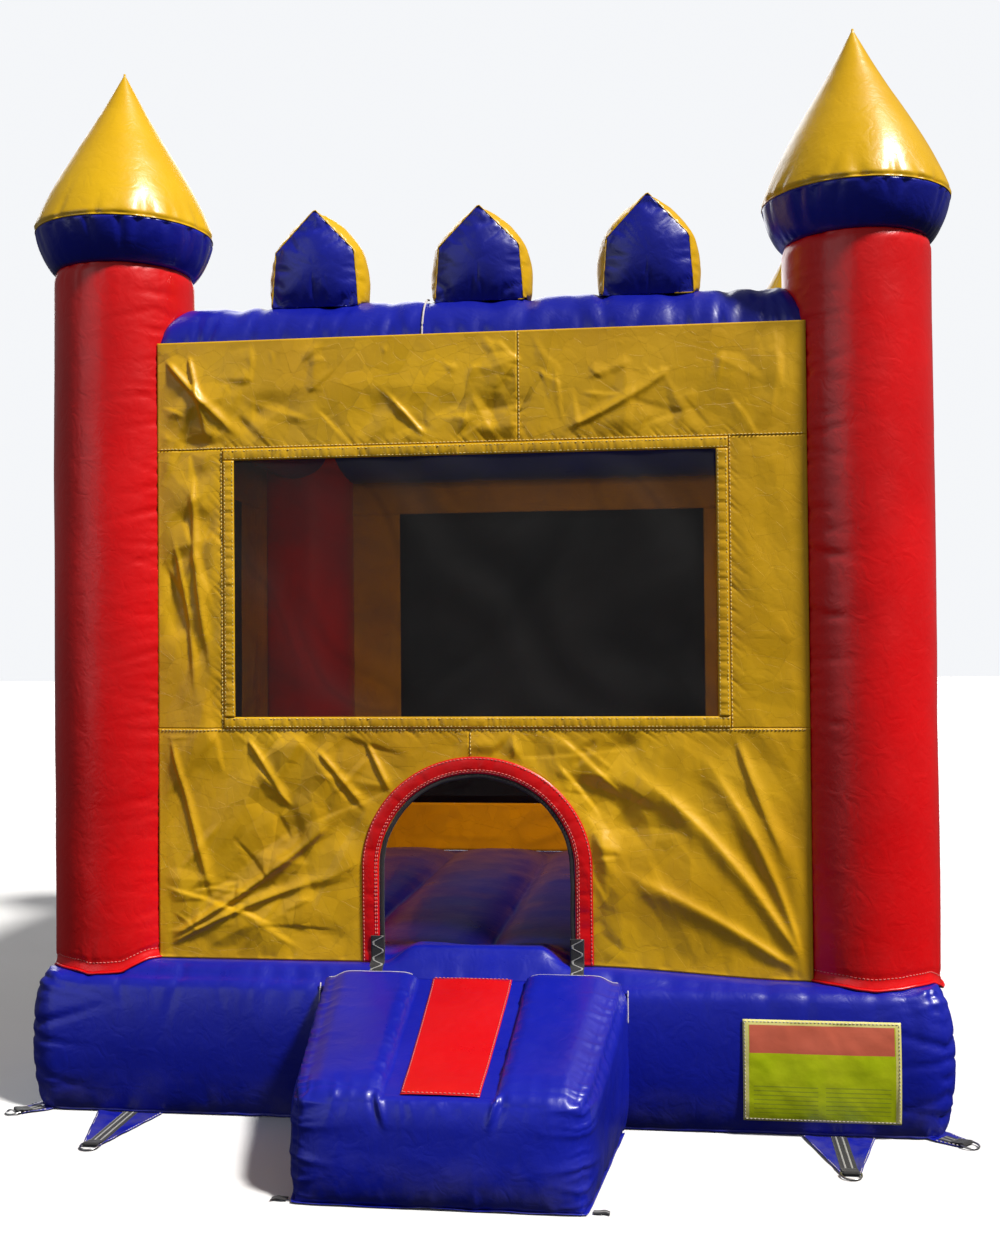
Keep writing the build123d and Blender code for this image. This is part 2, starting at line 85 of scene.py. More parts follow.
def noise(p, scale, seed):
    """Smooth value noise from -1 to 1 at points p (..., 3), with cells of size scale."""
    q = np.asarray(p, float) / scale
    cell = np.floor(q).astype(np.int64)
    f = ease(q - cell)
    total = np.zeros(q.shape[:-1])
    for corner in np.ndindex(2, 2, 2):
        c = (cell + np.array(corner)).astype(np.uint64)
        h = c[..., 0] * np.uint64(374761393) + c[..., 1] * np.uint64(668265263)
        h = (h + c[..., 2] * np.uint64(2147483647)
             + np.uint64(seed * 974634777 + 12345)) & np.uint64(0xFFFFFFFF)
        h = ((h ^ (h >> np.uint64(13))) * np.uint64(1274126177)) & np.uint64(0xFFFFFFFF)
        h = h ^ (h >> np.uint64(16))
        share = np.ones(q.shape[:-1])
        for k in range(3):
            share = share * (f[..., k] if corner[k] else 1 - f[..., k])
        total = total + share * (h / 2**31 - 1)
    return total


def layered(p, scale, seed, octaves=3):
    """Noise of several sizes, each half as large and half as strong as the one before."""
    return sum(noise(p, scale / 2**k, seed + k) / 2**k for k in range(octaves))


def flat3(u, v):
    return np.stack([u, v, np.zeros_like(u)], -1)


def gathers(along, away, seed, length, spacing, depth, reach):
    """Relief of short puckers at right angles to a seam: along runs on the seam, away from it."""
    rng = np.random.default_rng(seed)
    away = np.abs(away)
    relief = np.zeros(np.broadcast(along, away).shape)
    place = 0.0
    while place < length:
        place += spacing * rng.uniform(0.4, 1.7)
        width = spacing * rng.uniform(0.13, 0.3)
        run = reach * rng.uniform(0.35, 1.5)
        lean = rng.uniform(-0.3, 0.3)
        u = (along - place - lean * away + length / 2) % length - length / 2
        relief -= depth * rng.uniform(0.25, 1.0) * np.exp(-((u / width) ** 2) - (away / run) ** 1.3)
    return relief


def crumple(u, v, seed, count, wave, slope):
    """Relief of a stiff sheet that was packed: straight folds that cross and fade out."""
    rng = np.random.default_rng(seed)
    p = flat3(u, v)
    relief = np.zeros(u.shape)
    for i in range(count):
        angle = rng.uniform(0, math.pi)
        lam = wave * rng.uniform(0.45, 1.7)
        warp = 0.6 * lam * noise(p, 2.2 * lam, seed + 31 * i)
        t = (u * math.cos(angle) + v * math.sin(angle) + warp) / lam + rng.uniform(0, 1)
        tent = np.abs(2 * (t - np.floor(t + 0.5)))
        there = ease(0.35 + 0.9 * noise(p, 1.6 * lam, seed + 31 * i + 7))
        relief += slope * lam / 2 * rng.uniform(0.5, 1.0) * (tent - 0.5) * there
    return relief


def creases(u, v, seed, count, low, high, length, width, slope, aim=None, spread=(0.25, 1.0)):
    """Relief of many straight creases between flat facets, each with its own place, turn and size."""
    rng = np.random.default_rng(seed)
    relief = np.zeros(u.shape)
    for _ in range(count):
        cu, cv = rng.uniform(low[0], high[0]), rng.uniform(low[1], high[1])
        angle = rng.uniform(0, math.pi) if aim is None else rng.normal(aim, 0.35)
        run, reach = length * rng.uniform(0.45, 1.5), width * rng.uniform(0.45, 1.6)
        side, rise, bend = rng.uniform(*spread), rng.uniform(0.5, 1.0), rng.uniform(-0.15, 0.15)
        up = 1 if rng.uniform() < 0.62 else -1
        s = (u - cu) * math.cos(angle) + (v - cv) * math.sin(angle)
        a = (v - cv) * math.cos(angle) - (u - cu) * math.sin(angle) + bend * s * s / run
        end = np.clip(1 - np.abs(2 * s / run), 0, 1)
        w = reach * (0.3 + 0.7 * end)
        tent = np.clip(1 - np.abs(a) / np.where(a > 0, w, w * side), 0, 1)
        relief += up * slope * rise * reach * tent * ease(1.6 * end)
    return relief


def fold(u, v, start, end, width, depth, lean=0.0):
    """Relief of one long fold from start to end, sharp on one side, that fades at its ends."""
    d = np.array(end, float) - np.array(start, float)
    length = np.hypot(*d)
    d = d / length
    t = ((u - start[0]) * d[0] + (v - start[1]) * d[1]) / length
    away = (u - start[0]) * -d[1] + (v - start[1]) * d[0] + lean * np.sin(math.pi * t) * length
    w = width * (0.45 + 0.55 * np.clip(t, 0, 1))
    shape = np.where(away > 0, np.exp(-((away / w) ** 2)), np.exp(-np.abs(away / (0.45 * w)) ** 1.4))
    return depth * shape * ease(t / 0.18) * ease((1 - t) / 0.35)


# ---- Meshes ----


def grid_quads(n, m, wrap_n=False, wrap_m=False):
    rows = np.arange(n if wrap_n else n - 1)[:, None]
    columns = np.arange(m if wrap_m else m - 1)[None, :]
    a = rows * m + columns
    b = rows * m + (columns + 1) % m
    c = ((rows + 1) % n) * m + (columns + 1) % m
    d = ((rows + 1) % n) * m + columns
    return np.stack([a, b, c, d], -1).reshape(-1, 4)


def joined(*parts):
    """Several (points, faces) as one; faces may be quads or triangles, as lists of arrays."""
    points, faces, start = [], [], 0
    for p, fs in parts:
        p = np.asarray(p, float).reshape(-1, 3)
        points.append(p)
        for f in fs if isinstance(fs, list) else [fs]:
            faces.append(np.asarray(f) + start)
        start += len(p)
    return np.concatenate(points), faces


def welded(points, faces, digits=5):
    """Points at one place become one point, and faces that collapse are dropped."""
    _, first, same = np.unique(np.round(points, digits), axis=0, return_index=True, return_inverse=True)
    return points[first], [same.reshape(-1)[f] for f in faces]


def face_outwards(mesh):
    """Turns a closed mesh's faces outwards."""
    bm = bmesh.new()
    bm.from_mesh(mesh)
    bmesh.ops.recalc_face_normals(bm, faces=bm.faces)
    bm.to_mesh(mesh)
    bm.free()


def piece(name, points, faces, material, body="root", slot=None, replaces=()):
    """A smooth mesh object with outward normals. Faces are arrays of quads and triangles."""
    faces = [f for f in (faces if isinstance(faces, list) else [faces]) if len(f)]
    mesh = bpy.data.meshes.new(name)
    mesh.vertices.add(len(points))
    mesh.vertices.foreach_set("co", np.asarray(points, np.float32).ravel())
    loops = np.concatenate([f.ravel() for f in faces])
    counts = np.concatenate([np.full(len(f), f.shape[1]) for f in faces])
    mesh.loops.add(len(loops))
    mesh.loops.foreach_set("vertex_index", loops.astype(np.int32))
    mesh.polygons.add(len(counts))
    mesh.polygons.foreach_set("loop_start", (np.cumsum(counts) - counts).astype(np.int32))
    mesh.materials.append(material)
    mesh.update(calc_edges=True)
    face_outwards(mesh)
    mesh.polygons.foreach_set("use_smooth", np.ones(len(counts), bool))
    mesh.update()
    obj = bpy.data.objects.new(name, mesh)
    bpy.context.scene.collection.objects.link(obj)
    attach(obj, body)
    if replaces:
        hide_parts(*replaces)
    return obj


def edges_of(faces):
    """The outline's directed edges: those that only one face uses."""
    sides = np.concatenate([np.stack([f, np.roll(f, -1, 1)], -1).reshape(-1, 2) for f in faces])
    key = np.sort(sides, 1)
    _, index, uses = np.unique(key, axis=0, return_index=True, return_counts=True)
    return sides[index[uses == 1]]


def slab(points, faces, offset):
    """A closed thin sheet: the surface, its copy moved by offset, and the rim between them."""
    faces = faces if isinstance(faces, list) else [faces]
    n = len(points)
    rim = edges_of(faces)
    walls = np.stack([rim[:, 1], rim[:, 0], rim[:, 0] + n, rim[:, 1] + n], -1)
    return (
        np.concatenate([points, points + offset]),
        faces + [f[:, ::-1] + n for f in faces] + [walls],
    )


def normals_of(points, faces):
    """Vertex normals of a surface whose faces wind the same way."""
    out = np.zeros_like(points)
    for f in faces:
        n = np.cross(points[f[:, 1]] - points[f[:, 0]], points[f[:, -1]] - points[f[:, 0]])
        for k in range(f.shape[1]):
            np.add.at(out, f[:, k], n)
    return out / np.maximum(np.linalg.norm(out, axis=1), 1e-12)[:, None]


def rim(distance, radius):
    """From 0 at a seam to 1 at this distance from it, as a quarter circle: a swollen edge."""
    return np.sqrt(1 - (1 - np.clip(distance / radius, 0, 1)) ** 2)


def run_of(path):
    """Length along a path at each of its points."""
    return np.concatenate([[0], np.cumsum(np.linalg.norm(np.diff(path, axis=0), axis=1))])


def at_lengths(path, s, t):
    """Points of a path at lengths t along it, from the lengths s of its own points."""
    return np.stack([np.interp(t, s, column) for column in path.T], -1)


def round_angles(sides):
    return np.arange(sides) / sides * TAU


def around(centre, radius, angle, height):
    """Points round an upright axis."""
    return np.stack([centre[0] + radius * np.cos(angle), centre[1] + radius * np.sin(angle), height], -1)


def used_only(count, faces):
    """Which of the points the faces use, and the faces with those points' new numbers."""
    used = np.unique(np.concatenate([f.ravel() for f in faces]))
    index = np.full(count, -1)
    index[used] = np.arange(len(used))
    return used, [index[f] for f in faces]


def tree_of(points, faces):
    return BVHTree.FromPolygons(points.tolist(), [f for fs in faces for f in fs.tolist()])


def drop(tree, x, y, missed, top=1.0):
    """Heights at which points let fall from above land on a mesh."""
    out = np.full(np.shape(x), missed)
    for i in np.ndindex(np.shape(x)):
        hit = tree.ray_cast(Vector((x[i], y[i], top)), Vector((0, 0, -1)))[0]
        if hit is not None:
            out[i] = max(missed, hit.z)
    return out


def tube(path, radius, sides=8, closed=False):
    """A round tube along a path."""
    path = np.asarray(path, float)
    n = len(path)
    ahead = np.roll(path, -1, 0) - np.roll(path, 1, 0) if closed else np.gradient(path, axis=0)
    ahead /= np.linalg.norm(ahead, axis=1)[:, None]
    up = np.tile([0.0, 0.0, 1.0], (n, 1))
    steep = np.abs(ahead[:, 2]) > 0.95
    up[steep] = [0.0, 1.0, 0.0]
    across = np.cross(ahead, up)
    across /= np.linalg.norm(across, axis=1)[:, None]
    up = np.cross(across, ahead)
    a = round_angles(sides)
    ring = across[:, None] * np.cos(a)[None, :, None] + up[:, None] * np.sin(a)[None, :, None]
    r = np.broadcast_to(radius, (n,))[:, None, None]
    points = (path[:, None] + ring * r).reshape(-1, 3)
    faces = [grid_quads(n, sides, wrap_n=closed, wrap_m=True)]
    if not closed:
        points = np.concatenate([points, path[:1], path[-1:]])
        for k, start in enumerate((0, (n - 1) * sides)):
            i = start + np.arange(sides)
            faces.append(np.stack([i, start + (np.arange(sides) + 1) % sides,
                                   np.full(sides, n * sides + k)], -1))
    return points, faces


def stitches(path, normal, pitch=0.013, length=0.0105, radius=0.0015, lift=0.0004):
    """A row of thread stitches along a path, each a small spindle that stands on the cloth."""
    path = np.asarray(path, float)
    normal = np.broadcast_to(np.asarray(normal, float), path.shape)
    s = run_of(path)
    mid = np.arange(pitch / 2, s[-1], pitch)
    at, front, back = (at_lengths(path, s, mid + shift) for shift in (0, length / 2, -length / 2))
    n = at_lengths(normal, s, mid)
    n /= np.linalg.norm(n, axis=1)[:, None]
    ahead = front - back
    ahead /= np.maximum(np.linalg.norm(ahead, axis=1), 1e-9)[:, None]
    side = np.cross(ahead, n)
    at = at + n * lift
    rows = [back + n * (lift - radius)]
    for t in (-0.28, 0.28):
        for x, y in ((1, 0), (0, 1), (-1, 0), (0, -1)):
            rows.append(at + ahead * (t * length) + (side * x + n * y) * radius)
    rows.append(front + n * (lift - radius))
    points = np.stack(rows, 1)
    k = np.arange(len(mid))[:, None, None] * 10
    quads = np.array([[1 + i, 1 + (i + 1) % 4, 5 + (i + 1) % 4, 5 + i] for i in range(4)])
    ends = np.array([[0, 1 + (i + 1) % 4, 1 + i] for i in range(4)]
                    + [[9, 5 + i, 5 + (i + 1) % 4] for i in range(4)])
    return points.reshape(-1, 3), [(quads + k).reshape(-1, 4), (ends + k).reshape(-1, 3)]


# ---- Materials: procedural, in the frame's own metres ----


def nodes_of(name):
    mat = bpy.data.materials.new(name)
    mat.use_nodes = True
    tree = mat.node_tree
    shader = tree.nodes["Principled BSDF"]
    where = tree.nodes.new("ShaderNodeTexCoord").outputs["Object"]
    return mat, tree, shader, where


def add_noise(tree, where, scale, detail=3.0, rough=0.55, distortion=0.0):
    n = tree.nodes.new("ShaderNodeTexNoise")
    n.inputs["Scale"].default_value = scale
    n.inputs["Detail"].default_value = detail
    n.inputs["Roughness"].default_value = rough
    n.inputs["Distortion"].default_value = distortion
    tree.links.new(where, n.inputs["Vector"])
    return n.outputs["Fac"]


def mapped(tree, value, low, high, from_low=0.3, from_high=0.7):
    """A value's range from_low to from_high as low to high, clamped."""
    n = tree.nodes.new("ShaderNodeMapRange")
    n.inputs["From Min"].default_value = from_low
    n.inputs["From Max"].default_value = from_high
    n.inputs["To Min"].default_value = low
    n.inputs["To Max"].default_value = high
    tree.links.new(value, n.inputs["Value"])
    return n.outputs["Result"]


def mixed(tree, share, first, second):
    """Two colours mixed by a share; each may be a constant or an output."""
    n = tree.nodes.new("ShaderNodeMix")
    n.data_type = "RGBA"
    n.blend_type = "MIX"
    for socket, value in zip((n.inputs[0], n.inputs[6], n.inputs[7]), (share, first, second)):
        if isinstance(value, (tuple, float, int)):
            socket.default_value = (*value, 1.0) if isinstance(value, tuple) else value
        else:
            tree.links.new(value, socket)
    return n.outputs[2]


def calculated(tree, kind, a, b=None):
    n = tree.nodes.new("ShaderNodeMath")
    n.operation = kind
    for socket, value in zip(n.inputs, (a, b)):
        if isinstance(value, (float, int)):
            socket.default_value = value
        elif value is not None:
            tree.links.new(value, socket)
    return n.outputs[0]


def bump(tree, height, distance, strength, under=None):
    n = tree.nodes.new("ShaderNodeBump")
    n.inputs["Distance"].default_value = distance
    n.inputs["Strength"].default_value = strength
    tree.links.new(height, n.inputs["Height"])
    if under is not None:
        tree.links.new(under, n.inputs["Normal"])
    return n.outputs["Normal"]


def times(tree, a, b):
    return calculated(tree, "MULTIPLY", a, b)


def surface(tree, shader, colour, rough, normal):
    """Links the three sockets that every material sets."""
    for output, socket in ((colour, "Base Color"), (rough, "Roughness"), (normal, "Normal")):
        tree.links.new(output, shader.inputs[socket])


def bands(tree, where, axis, scale):
    n = tree.nodes.new("ShaderNodeTexWave")
    n.wave_type = "BANDS"
    n.bands_direction = axis
    n.inputs["Scale"].default_value = scale
    tree.links.new(where, n.inputs["Vector"])
    return n.outputs["Fac"]


def part_of(tree, where, axis):
    """One coordinate of the object's own space."""
    n = tree.nodes.new("ShaderNodeSeparateXYZ")
    tree.links.new(where, n.inputs[0])
    return n.outputs[axis]


def vinyl(name, colour, dark, rough=(0.26, 0.42), crease=0.35, crease_scale=16.0, coat=0.15, crumpled=0.0):
    """Coated fabric: a glossy skin over a woven scrim, with fine packing creases and some dust low down."""
    mat, tree, shader, where = nodes_of(name)
    patches = add_noise(tree, where, 1.7, 4.0)
    body = mixed(tree, mapped(tree, patches, 0.0, 1.0, 0.35, 0.65), dark, colour)
    dust = mixed(tree, mapped(tree, add_noise(tree, where, 38.0, 5.0, 0.7), 0.0, 0.014, 0.5, 0.85),
                 body, (0.42, 0.40, 0.38))
    low = times(tree, mapped(tree, part_of(tree, where, "Z"), 0.32, 0.0, 0.0, 0.16),
                mapped(tree, add_noise(tree, where, 7.0, 5.0, 0.65), 0.0, 1.0, 0.4, 0.7))
    smudge = add_noise(tree, where, 5.5, 6.0, 0.65)
    creases = add_noise(tree, where, crease_scale, 2.5, 0.5, 0.6)
    sharp = calculated(tree, "ABSOLUTE", calculated(tree, "SUBTRACT", creases, 0.5))
    weave = calculated(tree, "MAXIMUM", bands(tree, where, "X", 150.0), bands(tree, where, "Z", 150.0))
    first = bump(tree, sharp, 0.012, crease)
    if crumpled:
        patchy = mapped(tree, add_noise(tree, where, 1.9, 2.0), 0.25, 1.0, 0.35, 0.65)
        patchy = times(tree, patchy, mapped(tree, part_of(tree, where, "X"), 1.0, 0.25, 0.25, 0.95))
        for scale, share in ((6.5, 0.34), (15.0, 0.30)):
            first = bump(tree, times(tree, facets(tree, where, scale), patchy), crumpled * share, 1.0, first)
    second = bump(tree, add_noise(tree, where, 90.0, 3.0), 0.0009, 0.35, first)
    surface(tree, shader, mixed(tree, low, dust, (0.17, 0.15, 0.13)), mapped(tree, smudge, *rough),
            bump(tree, weave, 0.0003, 0.18, second))
    shader.inputs["IOR"].default_value = 1.46
    shader.inputs["Coat Weight"].default_value = coat
    shader.inputs["Coat Roughness"].default_value = 0.16
    return mat


def facets(tree, where, scale):
    """Height of flat facets, each tilted its own way, with straight creases between them."""
    cells = tree.nodes.new("ShaderNodeTexVoronoi")
    cells.inputs["Scale"].default_value = scale
    tree.links.new(where, cells.inputs["Vector"])
    vectors = []
    for first, second in ((cells.outputs["Color"], (0.5, 0.5, 0.5)), (where, cells.outputs["Position"])):
        n = tree.nodes.new("ShaderNodeVectorMath")
        n.operation = "SUBTRACT"
        tree.links.new(first, n.inputs[0])
        if isinstance(second, tuple):
            n.inputs[1].default_value = second
        else:
            tree.links.new(second, n.inputs[1])
        vectors.append(n.outputs[0])
    n = tree.nodes.new("ShaderNodeVectorMath")
    n.operation = "DOT_PRODUCT"
    tree.links.new(vectors[0], n.inputs[0])
    tree.links.new(vectors[1], n.inputs[1])
    return n.outputs["Value"]


def cloth(name, colour, dark, pitch=300.0, rough=(0.6, 0.85)):
    """Woven webbing or tape."""
    mat, tree, shader, where = nodes_of(name)
    weave = calculated(tree, "MAXIMUM", bands(tree, where, "DIAGONAL", pitch), bands(tree, where, "Z", pitch))
    patches = add_noise(tree, where, 60.0, 4.0)
    shade = mixed(tree, mapped(tree, patches, 0.0, 1.0), dark, colour)
    surface(tree, shader, mixed(tree, mapped(tree, weave, 0.0, 0.35, 0.0, 1.0), shade, dark),
            mapped(tree, patches, *rough), bump(tree, weave, 0.0006, 0.6))
    shader.inputs["Sheen Weight"].default_value = 0.25
    return mat


def metal(name, colour, rough):
    mat, tree, shader, where = nodes_of(name)
    wear = add_noise(tree, where, 260.0, 5.0, 0.7)
    dark = tuple(0.55 * c for c in colour)
    surface(tree, shader, mixed(tree, mapped(tree, wear, 0.0, 1.0), dark, colour),
            mapped(tree, wear, *rough), bump(tree, wear, 0.0002, 0.5))
    shader.inputs["Metallic"].default_value = 1.0
    return mat


def net_material(name, low, high):
    """Knitted net: dark threads that the eye sees through, lighter in patches where dust lies and where a
    sheen of light is painted into the colour.
    """
    mat, tree, shader, where = nodes_of(name)
    threads = calculated(tree, "MAXIMUM", bands(tree, where, "X", 60.0), bands(tree, where, "Y", 60.0))
    threads = calculated(tree, "MAXIMUM", threads, bands(tree, where, "Z", 60.0))
    haze = add_noise(tree, where, 2.2, 4.0, 0.6, 0.8)
    # The net's colour is lighter in patches: part dust, part a painted sheen of light on the threads.
    dust_and_sheen = mixed(tree, mapped(tree, haze, 0.0, 1.0, 0.4, 0.75), (0.003, 0.003, 0.003), (0.011, 0.010, 0.010))
    opacity = calculated(tree, "ADD", mapped(tree, threads, -0.05, 0.05, 0.6, 1.0),
                         mapped(tree, haze, low, high))
    tree.links.new(opacity, shader.inputs["Alpha"])
    surface(tree, shader, dust_and_sheen, mapped(tree, haze, 0.5, 0.7), bump(tree, threads, 0.0006, 0.5))
    return mat


BLUE = vinyl("blue_vinyl", (0.006, 0.012, 0.35), (0.004, 0.008, 0.27), crease=0.24)
RED = vinyl("red_vinyl", (0.80, 0.003, 0.005), (0.64, 0.002, 0.004), crease=0.22)
STRIP_RED = vinyl("strip_vinyl", (0.62, 0.005, 0.008), (0.54, 0.004, 0.006), crease=0.2)
YELLOW = vinyl("yellow_vinyl", (0.76, 0.45, 0.004), (0.69, 0.39, 0.003), crease=0.22)
WALL_YELLOW = vinyl("wall_vinyl", (0.78, 0.445, 0.005), (0.64, 0.34, 0.003), (0.36, 0.50), 0.22,
                    11.0, 0.08, 0.5)
INNER = vinyl("inner_cloth", (0.72, 0.72, 0.70), (0.62, 0.62, 0.60))
NET = net_material("window_net", 0.46, 0.54)
DENSE_NET = net_material("window_net_dense", 0.78, 0.84)
WEBBING = cloth("black_webbing", (0.022, 0.022, 0.024), (0.008, 0.008, 0.009))
GREY_THREAD = cloth("grey_stripe", (0.42, 0.42, 0.40), (0.24, 0.24, 0.23))
TAPE = cloth("zip_tape", (0.03, 0.03, 0.03), (0.012, 0.012, 0.012), 420.0)
STEEL = metal("steel", (0.62, 0.62, 0.63), (0.22, 0.42))
ZIP_METAL = metal("zip_metal", (0.55, 0.55, 0.56), (0.2, 0.38))
YELLOW_THREAD = cloth("yellow_thread", (0.95, 0.78, 0.30), (0.80, 0.60, 0.16), 500.0)
PALE_THREAD = cloth("pale_thread", (0.80, 0.74, 0.72), (0.62, 0.55, 0.52), 500.0)
RED_THREAD = cloth("red_thread", (0.90, 0.30, 0.26), (0.72, 0.14, 0.12), 500.0)

# ---- Camera: the photograph's angle ----

CAMERA = Vector((0.6856, -6.0967, 1.5664))
YAW, PITCH, ROLL = 0.1269, 0.0177, -0.0083
FOCAL_MM = 40.71
cam_data = bpy.data.cameras.new("camera")
cam_data.lens = FOCAL_MM
cam_data.sensor_width = 36.0
cam_data.sensor_fit = "AUTO"
camera = bpy.data.objects.new("camera", cam_data)
forward = Vector((-math.sin(YAW) * math.cos(PITCH), math.cos(YAW) * math.cos(PITCH), math.sin(PITCH)))
right = Vector((math.cos(YAW), math.sin(YAW), 0))
above = right.cross(forward)
level_right = math.cos(ROLL) * right + math.sin(ROLL) * above
level_up = -math.sin(ROLL) * right + math.cos(ROLL) * above
camera.matrix_world = Matrix.Translation(CAMERA) @ Matrix((level_right, level_up,
                                                           -forward)).transposed().to_4x4()
bpy.context.scene.collection.objects.link(camera)
bpy.context.scene.camera = camera

# ---- Base ----


def box_surface(xs, ys, zs):
    """The surface of a block of grid lines: points and quads, welded."""
    parts = []
    for axis, (us, vs) in enumerate(((ys, zs), (xs, zs), (xs, ys))):
        for end in (0, -1):
            u, v = np.meshgrid(us, vs, indexing="ij")
            fixed = np.full(u.shape, (xs, ys, zs)[axis][end])
            order = {0: (fixed, u, v), 1: (u, fixed, v), 2: (u, v, fixed)}[axis]
            quads = grid_quads(len(us), len(vs))
            parts.append((np.stack(order, -1), quads if (end == 0) == (axis != 1) else quads[:, ::-1]))
    points, faces = joined(*parts)
    return welded(points, faces)


def spaced(low, high, step):
    """Grid lines from low to high, a step apart, the last gap shorter."""
    lines = [low]
    while lines[-1] < high - 1e-9:
        lines.append(min(high, lines[-1] + step))
    return np.array(lines)


CORNER_R = 0.100
EDGE_R = 0.045
SIDE_SWELL, SEAM_INSET = 0.043, 0.019
RIM_RISE, THRESHOLD_RISE = 0.035, 0.062
CHANNEL_SPACING, FLOOR_SWELL = 0.5, 0.058
BEAM_LIFT = 0.07
SIDE_LENGTH = 2 * BASE_HALF


def base_swell(z):
    """How far the side stands out from its plane at height z."""
    t = np.clip(z / BASE_TOP, 0, 1)
    return SIDE_SWELL * (4 * t * (1 - t)) ** 0.62 - SEAM_INSET


def foot_rise(x):
    """How much the swollen front rim lifts the front wall's foot: most beside the door."""
    return RIM_RISE * ease((1.10 - x) / 0.75) * ease((x + 1.30) / 0.16)


def front_rim(x, y):
    """Swelling of the base's top at its front edge, with a higher threshold in the doorway."""
    away = y + BASE_HALF
    rim_swell = foot_rise(x) * ease(away / 0.078) * (1 - ease((away - 0.095) / 0.22))
    free = ease((0.325 - np.abs(x - DOOR_X)) / 0.12)
    return rim_swell + THRESHOLD_RISE * free * ease((away - 0.02) / 0.11) * (1 - ease((away - 0.16) / 0.22))


def crowned(up):
    """Height above a beam's axis where a round beam has up: the air lifts its top a little."""
    return up * (1 + BEAM_LIFT * np.clip(up / BEAM_R, 0, 1))


def floor_height(x, y):
    """The bouncing floor: tubes from front to rear with channels between them."""
    tube_share = np.abs((x + 10) / CHANNEL_SPACING % 1 - 0.5) * 2
    crest = np.clip(1 - tube_share**2.6, 0, 1) ** 0.62
    ends = np.sqrt(np.clip(1 - np.clip((np.abs(y) - 1.02) / 0.30, 0, 1) ** 2, 0, 1))
    sides = ease((1.02 - np.abs(x)) / 0.05)
    return FLOOR_SWELL * crest * ends * sides


